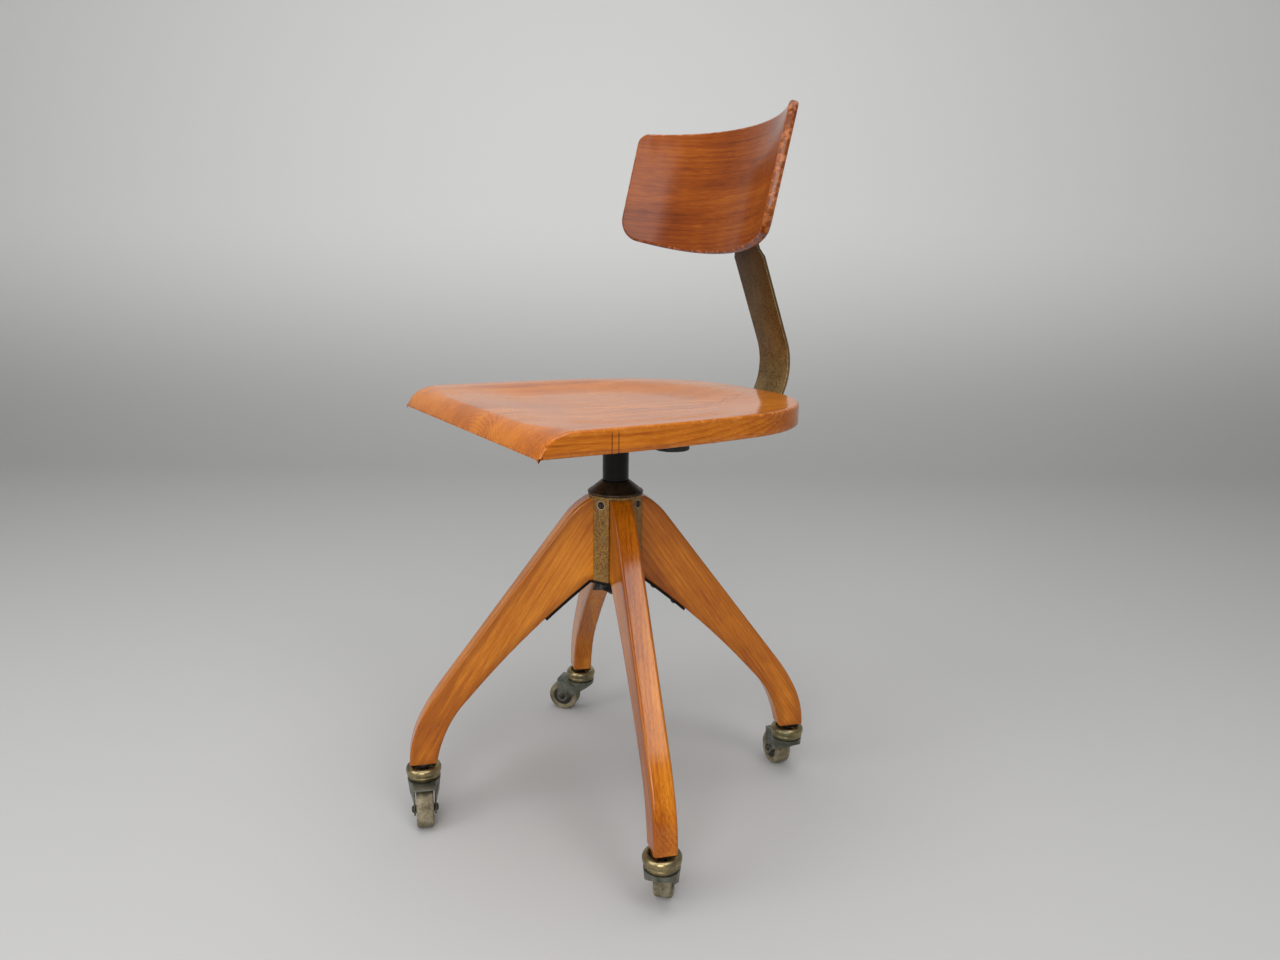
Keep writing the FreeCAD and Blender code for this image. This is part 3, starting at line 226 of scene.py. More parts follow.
def soften(bm, width):
    """Break the sharp edges and mark the new arrises, where paint and lacquer wear, and where the wood is
    painted paler as a highlight.
    """
    layer = bm.verts.layers.float.new("arris")
    least = math.radians(40)
    sharp = [e for e in bm.edges if len(e.link_faces) == 2 and e.calc_face_angle(0) > least]
    done = bmesh.ops.bevel(
        bm, geom=sharp, offset=width, offset_type="OFFSET", affect="EDGES", segments=2,
        profile=0.5, clamp_overlap=True, material=-1,
    )
    new = set(done["faces"])
    for vert in bm.verts:
        vert[layer] = 1.0 if vert.link_faces and all(face in new for face in vert.link_faces) else 0.0
    return bm


def dressed(node, finish, width):
    """A CAD node with broken edges and smooth shading in place of its bare mesh."""
    bm = copied(node)
    if width:
        soften(bm, width * MM)
    return new_piece(node + "_dressed", bm, body_of(node), finish, replaces=(node,))


def grain_mesh(bm, along, across, through, origin=(0, 0, 0)):
    """Store each point's place in its board: along the grain, across it and through it."""
    layer = bm.verts.layers.float_vector.new("grain")
    for vert in bm.verts:
        spot = vert.co - Vector(origin)
        vert[layer] = Vector((spot.dot(along), spot.dot(across), spot.dot(through)))


def turned(profile, centre, axis=(0, 0, 1)):
    """Spin a (radius, height) profile in mm about an axis through a centre in metres."""
    bm = bmesh.new()
    verts = [bm.verts.new((radius * MM, 0, height * MM)) for radius, height in profile]
    edges = [bm.edges.new(pair) for pair in zip(verts, verts[1:])]
    bmesh.ops.spin(
        bm, geom=verts + edges, cent=(0, 0, 0), axis=(0, 0, 1), angle=2 * math.pi, steps=72,
        use_merge=True,
    )
    bmesh.ops.remove_doubles(bm, verts=bm.verts, dist=1e-7)
    bmesh.ops.recalc_face_normals(bm, faces=bm.faces)
    turn = Vector((0, 0, 1)).rotation_difference(Vector(axis)).to_matrix().to_4x4()
    bmesh.ops.transform(bm, matrix=Matrix.Translation(centre) @ turn, verts=bm.verts)
    return bm


def arc(centre, radius, start, end, steps=6):
    """Points of an arc in a profile, angles in degrees."""
    turns = [math.radians(start + (end - start) * step / steps) for step in range(steps + 1)]
    return [(centre[0] + radius * math.cos(turn), centre[1] + radius * math.sin(turn)) for turn in turns]


# Finishes


def lacquered_wood(
    name, pale, mid, dark, ring=3.4, tilt=0.03, lines=0.10, figure=0.8, gloss=0.17, cracks=0.0,
    joins=(), rub_and_highlight=0.62,
):
    """Lacquered wood read from the board's own grain directions: year rings, streaks, fibres and
    pores, darker towards the edges, and pale at the arrises: partly rubbed lacquer, partly a
    painted highlight."""
    wood = Finish(name, Specular_IOR_Level=0.36)
    grain = wood.attribute("grain", "Vector")
    along, across, through = wood.parts(grain)
    slow = wood.noise(wood.stretch(grain, (2.5, 16, 16)), 1.0, 2.0, 0.5)
    ripple = wood.noise(wood.stretch(grain, (14, 130, 130)), 1.0, 3.0, 0.6)
    depth = through + along * tilt + (slow - 0.5) * 0.012 + (ripple - 0.5) * 0.0007
    heart = ((across * across) + (depth + 0.11) * (depth + 0.11)).root()
    rings = (heart / (ring * MM)).fraction()
    late = rings.ramp(0.35, 0.93) * rings.ramp(1.0, 0.95)
    bands = wood.noise(wood.stretch(grain, (1.5, 38, 38)), 1.0, 2.0, 0.5)
    streaks = wood.noise(wood.stretch(grain, (8, 420, 420)), 1.0, 4.0, 0.6)
    fibres = wood.noise(wood.stretch(grain, (55, 2400, 2400)), 1.0, 2.0, 0.6)
    cloud = wood.noise(grain, 8.0, 3.0, 0.6)
    tone = (bands + cloud - 1.0) * figure + (streaks - 0.5) * 0.6 + (fibres - 0.5) * 0.8
    tone = tone + 0.5 - late * lines
    colour = wood.node("ShaderNodeValToRGB", {"stops": [(0.16, dark), (0.5, mid), (0.84, pale)]}, [tone])
    pores = wood.noise(wood.stretch(grain, (150, 1700, 1700)), 1.0, 1.0, 0.5).ramp(0.63, 0.74)
    specks = wood.noise(grain, 330.0, 2.0, 0.5).ramp(0.72, 0.76)
    colour = wood.mix(pores * 0.30 + specks * 0.45, colour, tuple(channel * 0.35 for channel in dark))
    # darker towards the edges, as far as the rim attribute says
    edge_darkening = wood.attribute("rim").ramp(0.0, 1.0) * (0.5 + (cloud - 0.5) * 1.4).at_least(0.0)
    colour = wood.mix(edge_darkening * 0.8, colour, tuple(channel * 0.8 for channel in dark))
    if cracks:
        split = wood.noise(wood.stretch(grain, (7, 330, 330)), 1.0, 1.0, 0.4).ramp(0.765, 0.785)
        colour = wood.mix(split * cracks, colour, (0.03, 0.008, 0.002))
    for join in joins:  # glue lines, seen only on the board's +X side
        x, y, z = wood.parts(wood.place())
        line = abs(y - join).ramp(0.0009, 0.0003) * x.ramp(0.150, 0.155)
        line = line * z.ramp(0.502, 0.500)
        colour = wood.mix(line * 0.75, colour, (0.05, 0.012, 0.003))
    arris = wood.attribute("arris")
    # pale arrises: rubbed lacquer, and a painted highlight along the rounded edges
    rubbed_and_highlit = arris * wood.noise(grain, 110.0, 4.0, 0.62).ramp(0.46, 0.62)
    colour = wood.mix(rubbed_and_highlit * rub_and_highlight, colour, tuple(min(channel * 1.35 + 0.05, 1.0) for channel in pale))
    rough = gloss + (cloud - 0.5) * 0.10 + pores * 0.08 + rubbed_and_highlit * 0.15
    height = late * -0.25 - pores * 0.7 - streaks * 0.35 + cloud * 0.6
    wood.feed(Base_Color=colour, Roughness=rough, Normal=wood.bump(height, 0.2, 0.00012))
    return wood


def hammered_paint(name, base, low, high, screw_spots=(), shade=None):
    """Hammertone paint: small shiny dimples with dark seams, rubbed at the arrises. Shade is a
    pair of heights between which it goes from its own colour to a darker one: a painted shade,
    where the part runs into a shadow. A pale ring of bare metal shows round each screw."""
    paint = Finish(name, Metallic=0.2, Specular_IOR_Level=0.3)
    place = paint.place()
    warped = paint.noise(place, 190.0, 2.0, 0.5)
    cells = paint.cells(place, 560.0)
    dimples = cells + (warped - 0.5) * 0.5
    colour = paint.mix(dimples.ramp(0.10, 0.70), base, low)
    colour = paint.mix(paint.noise(place, 24.0, 5.0, 0.65).ramp(0.42, 0.72) * 0.6, colour, high)
    # painted shade: between the two heights the colour darkens towards the second
    if shade:
        height = paint.parts(place)[2]
        darker = tuple(channel * 0.22 for channel in base)
        colour = paint.mix(height.ramp(*shade) * 0.62, colour, darker)
    specks = paint.noise(place, 620.0, 2.0, 0.5).ramp(0.64, 0.71)
    stains = paint.noise(place, 55.0, 5.0, 0.68).ramp(0.60, 0.74)
    colour = paint.mix((specks * 0.8 + stains * 0.45).at_most(1.0), colour, (0.022, 0.011, 0.005))
    worn = paint.attribute("arris") * paint.noise(place, 110.0, 4.0, 0.65).ramp(0.36, 0.52)
    for spot in screw_spots:
        near = paint.node("ShaderNodeVectorMath", {"operation": "DISTANCE"}, [place, spot], output=1)
        worn = worn.at_least(near.ramp(0.0057, 0.0052) * 0.8)
    colour = paint.mix(worn * 0.85, colour, (0.50, 0.43, 0.31))
    rough = 0.36 + specks * 0.3 + stains * 0.2 - worn * 0.08
    paint.feed(Base_Color=colour, Roughness=rough, Normal=paint.bump(dimples, 0.45, 0.0005))
    return paint


def old_metal(name, base, patina, amount=0.5, rough=0.38, metallic=0.85, scale=60.0, edge=1.9):
    """Plated or bare steel gone dull: patches of patina, dark pits and bright rubbed edges."""
    metal = Finish(name, Metallic=metallic)
    place = metal.place()
    patches = metal.noise(place, scale, 5.0, 0.62).ramp(0.5 - amount * 0.25, 0.75 - amount * 0.15)
    pits = metal.noise(place, scale * 9, 2.0, 0.5).ramp(0.62, 0.75)
    smears = metal.noise(metal.stretch(place, (scale * 5, scale * 5, scale)), 1.0, 3.0, 0.6)
    colour = metal.mix(patches, base, patina)
    colour = metal.mix(smears.ramp(0.5, 0.8) * 0.35, colour, tuple(channel * 0.6 for channel in patina))
    colour = metal.mix(pits * 0.7, colour, tuple(channel * 0.25 for channel in patina))
    worn = metal.attribute("arris") * metal.noise(place, 140.0, 3.0, 0.6).ramp(0.35, 0.6)
    colour = metal.mix(worn * 0.6, colour, tuple(min(channel * edge + 0.06, 0.9) for channel in base))
    roughness = rough + patches * 0.16 + pits * 0.15 + (smears - 0.5) * 0.12 - worn * 0.08
    metal.feed(Base_Color=colour, Roughness=roughness, Normal=metal.bump(pits * -1.0, 0.25, 0.0002))
    return metal


def black_paint(name, base=(0.0055, 0.0045, 0.004), rough=0.30):
    """Black stove enamel, dusty and lightly scuffed up and down."""
    paint = Finish(name, Specular_IOR_Level=0.14)
    place = paint.place()
    dust = paint.noise(place, 70.0, 5.0, 0.65).ramp(0.5, 0.8)
    scuffs = paint.noise(paint.stretch(place, (300, 300, 30)), 1.0, 3.0, 0.6).ramp(0.66, 0.74)
    colour = paint.mix(dust * 0.12, base, (0.09, 0.06, 0.04))
    colour = paint.mix(scuffs * 0.2, colour, (0.12, 0.09, 0.07))
    paint.feed(Base_Color=colour, Roughness=rough + dust * 0.25, Normal=paint.bump(dust, 0.15, 0.0002))
    return paint


def tyre_rubber():
    """Khaki rubber, scuffed and dusty, with darker dirt in its flats."""
    rubber = Finish("tyre_rubber", Specular_IOR_Level=0.35)
    place = rubber.place()
    dust = rubber.noise(place, 80.0, 5.0, 0.65)
    grit = rubber.noise(place, 700.0, 2.0, 0.5).ramp(0.58, 0.7)
    colour = rubber.mix(dust.ramp(0.3, 0.72), (0.105, 0.085, 0.048), (0.33, 0.28, 0.18))
    dirt = rubber.noise(place, 210.0, 3.0, 0.6).ramp(0.56, 0.70)
    colour = rubber.mix((grit * 0.5 + dirt * 0.35).at_most(1.0), colour, (0.035, 0.03, 0.02))
    pitted = rubber.bump(grit * -1.0, 0.3, 0.0003)
    rubber.feed(Base_Color=colour, Roughness=0.62 + dust * 0.2, Normal=pitted)
    return rubber


def black_plastic(name, base=(0.010, 0.009, 0.008), rough=0.34):
    """Moulded plastic, hazy with age."""
    plastic = Finish(name, Specular_IOR_Level=0.5)
    place = plastic.place()
    haze = plastic.noise(place, 60.0, 4.0, 0.6)
    scuffs = plastic.noise(place, 400.0, 3.0, 0.6).ramp(0.62, 0.75)
    colour = plastic.mix(haze.ramp(0.4, 0.8) * 0.3, base, (0.06, 0.05, 0.04))
    plastic.feed(Base_Color=colour, Roughness=rough + haze * 0.2, Normal=plastic.bump(scuffs, 0.15, 0.0002))
    return plastic


def hub_screw_spots():
    """Where the four screw heads sit in the hub's panels."""
    turns = [BASE_TURN + math.radians(45 + 90 * quarter) for quarter in range(4)]
    ring = HUB_SCREW_RING
    return [(ring * math.cos(turn), ring * math.sin(turn), HUB_SCREW_Z) for turn in turns]


seat_beech = lacquered_wood(
    "seat_beech", (0.66, 0.245, 0.028), (0.55, 0.155, 0.007), (0.29, 0.060, 0.003),
    lines=0.15, figure=0.5, cracks=0.8, joins=(-0.1143, -0.1072), rub_and_highlight=0.16
)
leg_beech = lacquered_wood(
    "leg_beech", (0.74, 0.270, 0.022), (0.53, 0.155, 0.006), (0.28, 0.060, 0.003),
    ring=3.0, tilt=0.02, gloss=0.16
)
panel_beech = lacquered_wood(
    "panel_beech", (0.38, 0.105, 0.008), (0.250, 0.052, 0.002), (0.115, 0.019, 0.001),
    ring=2.6, tilt=0.01, gloss=0.2
)
# the bar is painted darker towards its top: a painted shadow under the backrest
bar_paint = hammered_paint(
    "bar_paint", (0.21, 0.125, 0.036), (0.085, 0.047, 0.013), (0.30, 0.200, 0.075), shade=(0.50, 0.66)
)
hub_paint = hammered_paint(
    "hub_paint", (0.36, 0.200, 0.050), (0.150, 0.075, 0.018), (0.46, 0.290, 0.100), hub_screw_spots()
)
cap_bronze = old_metal("cap_bronze", (0.085, 0.055, 0.028), (0.030, 0.019, 0.010), 0.6, 0.33, 0.5, 70.0)
aged_brass = old_metal("aged_brass", (0.35, 0.27, 0.135), (0.15, 0.14, 0.083), 0.5, 0.27, 0.95, 55.0)
fork_zinc = old_metal("fork_zinc", (0.21, 0.215, 0.175), (0.09, 0.094, 0.072), 0.6, 0.36, 0.85, 65.0)
dark_steel = old_metal("dark_steel", (0.085, 0.068, 0.055), (0.03, 0.022, 0.017), 0.6, 0.42, 0.8, 80.0)
bright_steel = old_metal("bright_steel", (0.55, 0.54, 0.52), (0.34, 0.32, 0.29), 0.3, 0.28, 1.0, 50.0, 1.3)
bush_brass = old_metal("bush_brass", (0.60, 0.42, 0.16), (0.28, 0.19, 0.08), 0.4, 0.3, 1.0, 60.0, 1.3)
black_steel = black_paint("black_steel")
tyre_khaki = tyre_rubber()
core_black = black_plastic("core_black", (0.022, 0.019, 0.015), 0.5)
knob_black = black_plastic("knob_black")


# The seat board: the plan and the dish are those of the CAD board

SEAT_TOP, SEAT_LOW = 505.2, 480.9
SEAT_FRONT, SEAT_REAR, SEAT_HALF, SEAT_FRONT_HALF = -188.6, 200.7, 200.0, 199.4
SEAT_WIDE_AT = -100.0
SIDE_ROUND, SHOULDER_ROUND = 1025.5, 158.15
FALL_START, FALL_EASE = -150.0, 52.0
FALL_KNEE, FALL_TOE, FALL_ROUND = (-168.0, 502.0), (-188.6, 480.9), 34.0
DISH_HALF, DISH_REAR, DISH_DEPTH, DISH_SLOPE = 184.0, 168.0, 9.0, 0.45
DISH_FRONT_SHARE, DISH_FADE_FROM, DISH_RIM_SHARE = 0.35, -60.0, 0.25
SEAT_EDGE, SEAT_LOW_EDGE = 3.0, 1.5


def smooth(t):
    t = min(max(t, 0.0), 1.0)
    return t * t * (3 - 2 * t)


def seat_inset(x, y):
    """Distance inside the seat's side and rear outline, in mm; negative outside."""
    across = abs(x)
    turn = math.asin((SEAT_REAR - SHOULDER_ROUND - SEAT_WIDE_AT) / (SIDE_ROUND - SHOULDER_ROUND))
    side_x = SEAT_HALF - SIDE_ROUND
    shoulder_x = side_x + (SIDE_ROUND - SHOULDER_ROUND) * math.cos(turn)
    shoulder_y = SEAT_WIDE_AT + (SIDE_ROUND - SHOULDER_ROUND) * math.sin(turn)
    if y < SEAT_WIDE_AT:
        taper = (SEAT_WIDE_AT - y) / (SEAT_WIDE_AT - SEAT_FRONT)
        return SEAT_HALF - (SEAT_HALF - SEAT_FRONT_HALF) * taper - across
    if math.atan2(y - SEAT_WIDE_AT, across - side_x) < turn:
        return SIDE_ROUND - math.hypot(across - side_x, y - SEAT_WIDE_AT)
    if across > shoulder_x:
        return SHOULDER_ROUND - math.hypot(across - shoulder_x, y - shoulder_y)
    return SEAT_REAR - y


def fall_centre():
    """Centre of the waterfall's tight arc, from its two ends."""
    (x1, z1), (x0, z0) = FALL_KNEE, FALL_TOE
    chord = math.hypot(x1 - x0, z1 - z0)
    reach = math.sqrt(FALL_ROUND**2 - chord**2 / 4)
    return (x0 + x1) / 2 + reach * (z1 - z0) / chord, (z0 + z1) / 2 - reach * (x1 - x0) / chord


FALL_CENTRE = fall_centre()


def seat_height(x, y):
    """The seat's top surface in mm: board, waterfall, dish and rounded side edge."""
    level = SEAT_TOP
    if y < FALL_KNEE[0]:
        drop = FALL_ROUND**2 - (y - FALL_CENTRE[0]) ** 2
        level = FALL_CENTRE[1] + math.sqrt(max(drop, 0))
    elif y < FALL_START:
        level = SEAT_TOP - FALL_EASE + math.sqrt(FALL_EASE**2 - (y - FALL_START) ** 2)
    across = abs(x) / DISH_HALF
    rho = math.hypot(across, y / DISH_REAR) if y > 0 else across
    t = min((1 - rho) / DISH_SLOPE, 1)
    rim = DISH_RIM_SHARE
    shape = 2 * rim * t if t < 0 else (1 - rim) * t * t * (3 - 2 * t) + rim * (2 * t - t * t)
    fade = smooth((DISH_FADE_FROM - y) / (DISH_FADE_FROM - FALL_START))
    dished = SEAT_TOP - DISH_DEPTH * shape * (1 - (1 - DISH_FRONT_SHARE) * fade)
    blend = 0.8
    mixed = min(max(0.5 + (level - dished) / (2 * blend), 0), 1)
    top = level + (dished - level) * mixed - blend * mixed * (1 - mixed)
    inset = max(seat_inset(x, y), 0)
    if inset < SEAT_EDGE:
        top -= SEAT_EDGE - math.sqrt(SEAT_EDGE**2 - (SEAT_EDGE - inset) ** 2)
    return top


def seat_reach(turn):
    """How far the seat's outline is from the column's axis in one direction, in mm."""
    low, high = 0.0, 320.0
    for _ in range(40):
        middle = (low + high) / 2
        x, y = middle * math.cos(turn), middle * math.sin(turn)
        inside = seat_inset(x, y) > 0 and y > SEAT_FRONT
        low, high = (middle, high) if inside else (low, middle)
    return low


def build_seat():
    """Rings grown from the middle of the dish to the outline, down the side and in below."""
    corner = math.atan2(-SEAT_FRONT, SEAT_FRONT_HALF)
    side_steps, front_steps = 300, 110
    turns = [-corner + (math.pi + 2 * corner) * n / side_steps for n in range(side_steps)]
    turns += [math.pi + corner + (math.pi - 2 * corner) * n / front_steps for n in range(front_steps)]
    reaches = [seat_reach(turn) for turn in turns]
    bm = bmesh.new()
    first = 0.04
    numbers = bm.verts.layers.int.new("number")
    made = bmesh.ops.create_circle(bm, cap_ends=True, segments=len(turns), radius=1)
    ordered = sorted(made["verts"], key=lambda vert: math.atan2(vert.co.y, vert.co.x) % (2 * math.pi))
    for number, vert in enumerate(ordered):
        vert[numbers] = number

    def spot(number, share, height=None):
        x, y = (share * reaches[number] * f(turns[number]) for f in (math.cos, math.sin))
        return Vector((x, y, seat_height(x, y) if height is None else height)) * MM

    for vert in ordered:
        vert.co = spot(vert[numbers], first)
    rows = [(1 - (1 - first) * (1 - n / 60) ** 1.7, None) for n in range(1, 61)]
    rows += [(1.0, lift) for lift in (0.75, 0.5, 0.25, 0.0)]
    rows += [(1 - 0.0022, -0.5), (1 - 0.0075, -1.0), (0.9, -1.0)]
    current = ordered
    for share, lift in rows:
        ring = {}
        for vert in current:
            number = vert[numbers]
            place = spot(number, share)
            if lift is not None:
                edge = spot(number, 1.0).z / MM
                low = SEAT_LOW + SEAT_LOW_EDGE
                height = low + (edge - low) * lift if lift >= 0 else low + SEAT_LOW_EDGE * lift
                place = spot(number, share, max(height, SEAT_LOW) if lift < 0 else height)
            ring[number] = place
        edges = [e for v in current for e in v.link_edges if e.other_vert(v) in set(current)]
        grown = bmesh.ops.extrude_edge_only(bm, edges=list(set(edges)))
        current = [item for item in grown["geom"] if isinstance(item, bmesh.types.BMVert)]
        for vert in current:
            vert.co = ring[vert[numbers]]
    bmesh.ops.contextual_create(bm, geom=current)
    bmesh.ops.recalc_face_normals(bm, faces=bm.faces)
    grain_mesh(bm, Vector((0, 1, 0)), Vector((1, 0, 0)), Vector((0, 0, 1)), (0.03, 0, SEAT_TOP * MM))
    rim, arris = bm.verts.layers.float.new("rim"), bm.verts.layers.float.new("arris")
    for vert in bm.verts:
        x, y, z = vert.co / MM
        inset = min(seat_inset(x, y), 40 + (y - SEAT_FRONT))
        rim_share = 1 - smooth(inset / 16)
        # rim: how much darker the wood is made near the top's outline and towards the underside
        vert[rim] = 0.55 * rim_share if z > SEAT_TOP - 6 else 0.35 * smooth((SEAT_LOW + 7 - z) / 6)
        # arrises painted paler: worn lacquer at the bottom edge, worn lacquer and a painted highlight along
        # the top edge
        vert[arris] = 1.0 if z < SEAT_LOW + 2.2 or (inset < 2.5 and z > SEAT_TOP - 4) else 0.0
    new_piece("seat_dished", bm, "seat_unit", seat_beech, 50, replaces=("seat",))


def slice_through(bm, start, direction, step, count):
    """Cut the mesh by evenly spaced planes, so that its flat faces can carry a gradient."""
    for number in range(1, count):
        everything = bm.verts[:] + bm.edges[:] + bm.faces[:]
        place = start + direction * step * number
        bmesh.ops.bisect_plane(bm, geom=everything, dist=1e-6, plane_co=place, plane_no=direction)


def build_legs():
    """Each leg is cut along its slope, so its grain runs from the shoulder to the foot."""
    slope = math.atan2(LEG_SHOULDER[1] - LEG_ANKLE[1], LEG_SHOULDER[0] - LEG_ANKLE[0])
    for quarter, name in enumerate(LEG_NAMES):
        turn = BASE_TURN + quarter * math.pi / 2
        out = Vector((math.cos(turn), math.sin(turn), 0))
        side = Vector((-math.sin(turn), math.cos(turn), 0))
        along = out * math.cos(slope) + Vector((0, 0, math.sin(slope)))
        bm = copied(f"leg_{name}")
        edges_of_board = BVHTree.FromBMesh(strip_between_sides(bm, side))
        soften(bm, 0.35 * MM)
        start = out * 0.25 + Vector((0, 0, 0.05))
        slice_through(bm, start, along, 0.006, 76)
        slice_through(bm, start - side.cross(along) * 0.12, side.cross(along), 0.005, 48)
        slice_through(bm, -side * 0.0125, side, 0.0025, 10)
        # rim: darker near the outline of each flat side, and towards the sides on the edge strips
        rim = bm.verts.layers.float.new("rim")
        for vert in bm.verts:
            near = edges_of_board.find_nearest(vert.co)[3]
            off_middle = abs(vert.co.dot(side))
            beside = abs(off_middle - LEG_HALF) < 5e-5
            vert[rim] = 1 - smooth(near / 0.010) if beside else 0.8 * smooth((off_middle - 0.006) / 0.006)
        origin = out * 0.05 * (quarter + 1) + Vector((0, 0, 0.12 + 0.03 * quarter))
        grain_mesh(bm, along, side.cross(along), side, origin)
        new_piece(f"leg_{name}_dressed", bm, "base", leg_beech, replaces=(f"leg_{name}",))


def strip_between_sides(bm, side):
    """The faces of a leg that join its two flat sides, as a mesh of their own."""
    strip = bm.copy()
    flat = [face for face in strip.faces if abs(face.normal.dot(side)) > 0.999]
    bmesh.ops.delete(strip, geom=flat, context="FACES")
    return strip


def build_backrest():
    """The bent panel; its grain is measured round the bend."""
    bm = copied("backrest")
    upright = Matrix.Rotation(PANEL_LEAN, 3, "X")
    grain = bm.verts.layers.float_vector.new("grain")
    rim, arris = bm.verts.layers.float.new("rim"), bm.verts.layers.float.new("arris")
    for vert in bm.verts:
        spot = upright @ (vert.co - PANEL_MIDDLE)
        round_bend = math.atan2(spot.x, spot.y + PANEL_BEND) * PANEL_BEND
        depth = math.hypot(spot.x, spot.y + PANEL_BEND) - PANEL_BEND
        vert[grain] = Vector((round_bend, spot.z, depth))
        vert[rim] = 1.0 if 1.2 * MM < depth < PANEL_THICK - 1.2 * MM else 0.0
        vert[arris] = 1.0 if 0.2 * MM < depth < PANEL_THICK - 0.2 * MM else 0.0
    new_piece("backrest_bent", bm, "back", panel_beech, replaces=("backrest",))


def dress_cad():
    plain = {
        "hub_housing": (hub_paint, 0.8), "hub_cap": (cap_bronze, 0.2), "guide_bush": (bush_brass, 0.3),
        "leg_strap": (black_steel, 0.5), "bearing_cup": (black_steel, 0.5),
        "thrust_race_lower": (bright_steel, 0.2), "thrust_race_upper": (bright_steel, 0.2),
        "threaded_rod": (bright_steel, 0.4), "rod_nut": (dark_steel, 0.4),
        "seat_bracket": (black_steel, 0.8), "column_tube": (black_steel, 0.5),
        "column_nut": (dark_steel, 0.3), "clamp_plate": (dark_steel, 0.5),
        "clamp_washer": (dark_steel, 0.3), "clamp_knob": (knob_black, 1.0), "back_bar": (bar_paint, 0.6),
        "bar_knuckle": (bar_paint, 0.4), "backrest_bracket": (bar_paint, 0.4),
        "pivot_pin": (dark_steel, 0.6), "pivot_nut": (dark_steel, 0.4), "caster_stems": (dark_steel, 0.5),
    }
    for name in LEG_NAMES:
        plain[f"fork_{name}"] = (fork_zinc, 0.35)
        plain[f"axle_{name}"] = (dark_steel, 0.5)
        plain[f"wheel_core_{name}"] = (core_black, 0.4)
    for node, (finish, width) in plain.items():
        dressed(node, finish, width)
    bare = {
        "hub_screws": dark_steel, "strap_screws": dark_steel, "seat_screws": dark_steel,
        "bracket_screws": dark_steel, "thrust_balls": bright_steel, "swivel_races": dark_steel,
    }
    for node, finish in bare.items():
        dressed(node, finish, 0)


def build_casters():
    """Bells and tyres turned with their full rounds."""
    bell = [(5.2, 54.4), (14.6, 54.4), (16.0, 61.8)] + arc((13.0, 59.6), 6.2, 40, -20, 6)
    bell += [(17.7, 57.0), (18.1, 54.4), (17.3, 50.9)] + arc((18.0, 51.2), 0.75, -170, -20, 5)
    bell += arc((18.3, 54.4), 1.5, -40, 40, 6) + [(19.2, 56.2)] + arc((19.7, 56.9), 0.45, 200, 130, 3)
    bell += arc((14.2, 59.9), 6.75, -25, 50, 12) + arc((15.9, 63.9), 1.65, 62, 150, 7)
    bell += [(14.0, 62.0)] + arc((10.6, 58.4), 2.4, 0, -90, 5) + [(5.2, 56.0)]
    tyre = [(14.0, -9.0)] + arc((15.0, -9.0), 1.0, 180, 270, 4) + arc((18.8, -7.2), 2.8, 270, 360, 7)
    tyre += arc((18.8, 7.2), 2.8, 0, 90, 7) + arc((15.0, 9.0), 1.0, 90, 180, 4) + [(14.0, -9.0)]
    bells = bmesh.new()
    for quarter, name in enumerate(LEG_NAMES):
        turn, heading = BASE_TURN + quarter * math.pi / 2, math.radians(CASTER_HEADING[name])
        pivot = Vector((math.cos(turn), math.sin(turn), 0)) * CASTER_RING
        one = bpy.data.meshes.new("bell")
        turned_bell = turned(bell + bell[:1], pivot)
        turned_bell.to_mesh(one)
        turned_bell.free()
        bells.from_mesh(one)
        bpy.data.meshes.remove(one)
        axle = pivot + Vector((math.cos(heading), math.sin(heading), 0)) * WHEEL_TRAIL
        axle += Vector((0, 0, WHEEL_RADIUS))
        across = (-math.sin(heading), math.cos(heading), 0)
        new_piece(f"tyre_{name}_round", turned(tyre, axle, across), f"wheel_{name}", tyre_khaki,
                  replaces=(f"tyre_{name}",))
    new_piece("swivel_bells", bells, "base", aged_brass, replaces=("swivel_caps",))


def build_stage():
    """A plain pale floor that curves up into a backdrop behind the chair."""
    bm = bmesh.new()
    ahead = Vector((-0.862, 0.507, 0))
    side = Vector((0.507, 0.862, 0))
    profile = [(-2.5, 0), (2.0, 0)]
    profile += arc((2.0, 0.8), 0.8, -80, 0, 8)
    profile += [(2.8, 3.5)]
    verts = [bm.verts.new(ahead * run + Vector((0, 0, rise)) - side * 4) for run, rise in profile]
    edges = [bm.edges.new(pair) for pair in zip(verts, verts[1:])]
    grown = bmesh.ops.extrude_edge_only(bm, edges=edges)
    moved = [item for item in grown["geom"] if isinstance(item, bmesh.types.BMVert)]
    bmesh.ops.translate(bm, vec=side * 8, verts=moved)
    bmesh.ops.recalc_face_normals(bm, faces=bm.faces)
    mesh = bpy.data.meshes.new("studio_floor")
    for face in bm.faces:
        face.smooth = True
    bm.to_mesh(mesh)
    bm.free()
    floor = bpy.data.objects.new("studio_floor", mesh)
    bpy.context.scene.collection.objects.link(floor)
    pale = Finish("pale_floor", Roughness=0.9, Specular_IOR_Level=0.2)
    height = pale.parts(pale.place())[2]
    pale.feed(Base_Color=pale.mix(height.ramp(0.0, 0.9), (0.50, 0.50, 0.495), (0.97, 0.97, 0.96)))
    mesh.materials.append(pale.material)


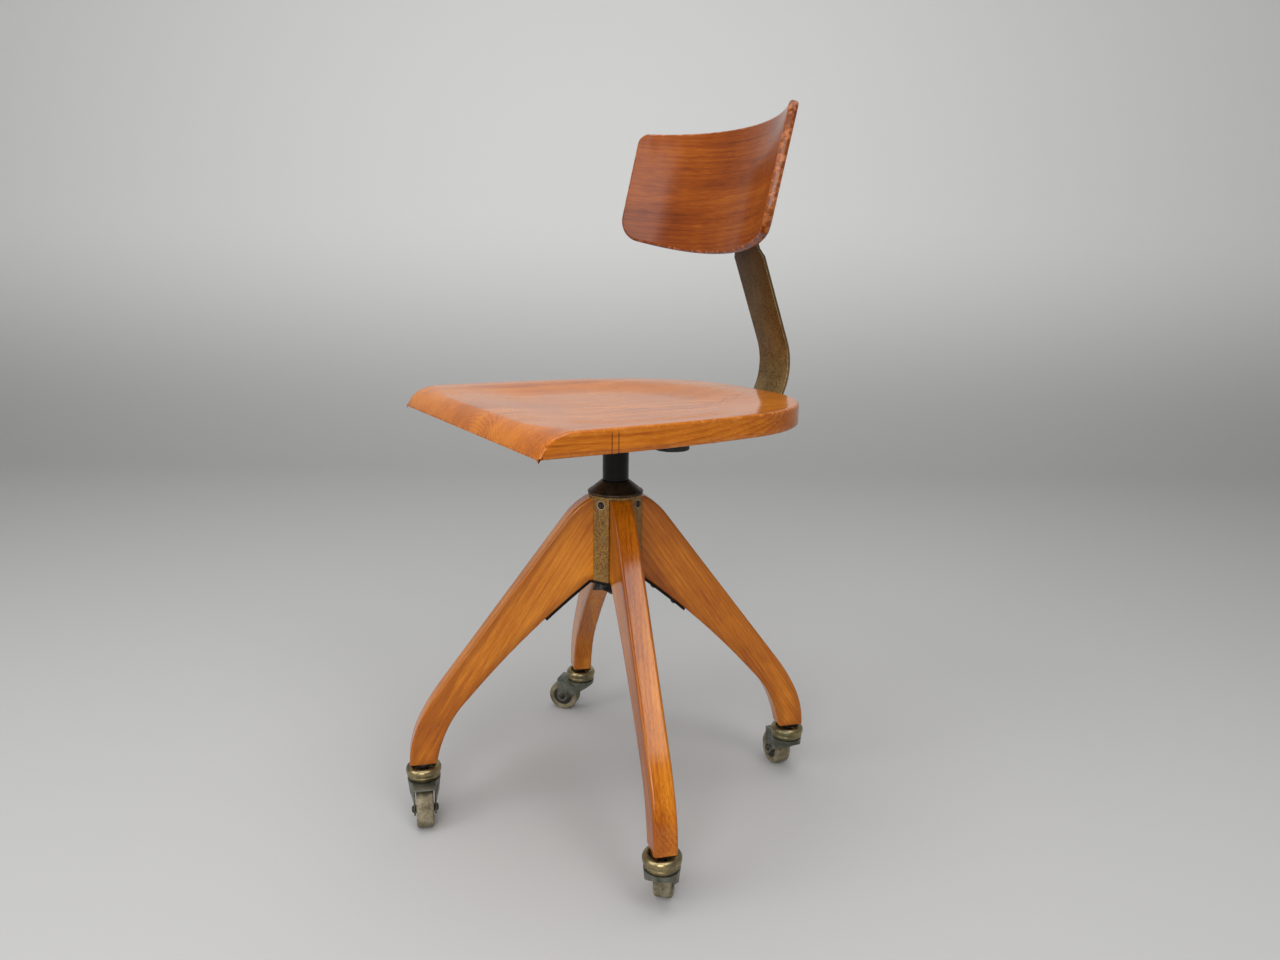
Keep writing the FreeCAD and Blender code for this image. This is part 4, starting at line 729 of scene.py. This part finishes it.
def softbox(name, place, aim, width, height, watts):
    data = bpy.data.lights.new(name, "AREA")
    data.shape, data.size, data.size_y = "RECTANGLE", width, height
    data.energy = watts
    lamp = bpy.data.objects.new(name, data)
    bpy.context.scene.collection.objects.link(lamp)
    lamp.location = place
    lamp.rotation_euler = (Vector(aim) - Vector(place)).to_track_quat("-Z", "Y").to_euler()


def build_light():
    softbox("overhead", (0.2, -0.2, 2.6), (0, 0, 0.3), 2.2, 2.2, 36)
    softbox("left_window", (0.1, -2.4, 1.5), (0, 0, 0.45), 1.6, 1.8, 21)
    softbox("camera_side", (1.7, -1.35, 1.25), (0, 0, 0.35), 1.0, 1.1, 20)
    softbox("camera_high", (1.6, 0.1, 1.95), (0, 0, 0.3), 0.7, 0.8, 8)
    world = bpy.data.worlds.new("studio")
    world.use_nodes = True
    background = world.node_tree.nodes["Background"]
    background.inputs["Color"].default_value = (1, 1, 1, 1)
    background.inputs["Strength"].default_value = 0.28
    bpy.context.scene.world = world


def build_camera():
    """The camera solved from the photograph, with a slight roll."""
    right = Vector((math.cos(CAMERA_AZIMUTH), math.sin(CAMERA_AZIMUTH), 0))
    level = Vector((-right.y, right.x, 0))
    ahead = level * math.cos(CAMERA_PITCH) - Vector((0, 0, math.sin(CAMERA_PITCH)))
    up = right.cross(ahead)
    rolled_right = right * math.cos(CAMERA_ROLL) + up * math.sin(CAMERA_ROLL)
    rolled_up = up * math.cos(CAMERA_ROLL) - right * math.sin(CAMERA_ROLL)
    turn = Matrix((rolled_right, rolled_up, -ahead)).transposed().to_4x4()
    data = bpy.data.cameras.new("photo_camera")
    data.sensor_width, data.lens = SENSOR_WIDTH, FOCAL_PIXELS / PICTURE_WIDTH * SENSOR_WIDTH
    data.clip_start = 0.01
    camera = bpy.data.objects.new("photo_camera", data)
    bpy.context.scene.collection.objects.link(camera)
    camera.matrix_world = Matrix.Translation(CAMERA_PLACE) @ turn
    bpy.context.scene.camera = camera


build_camera()
build_stage()
build_light()
build_seat()
build_legs()
build_backrest()
build_casters()
dress_cad()

bpy.context.scene.view_settings.view_transform = "Standard"
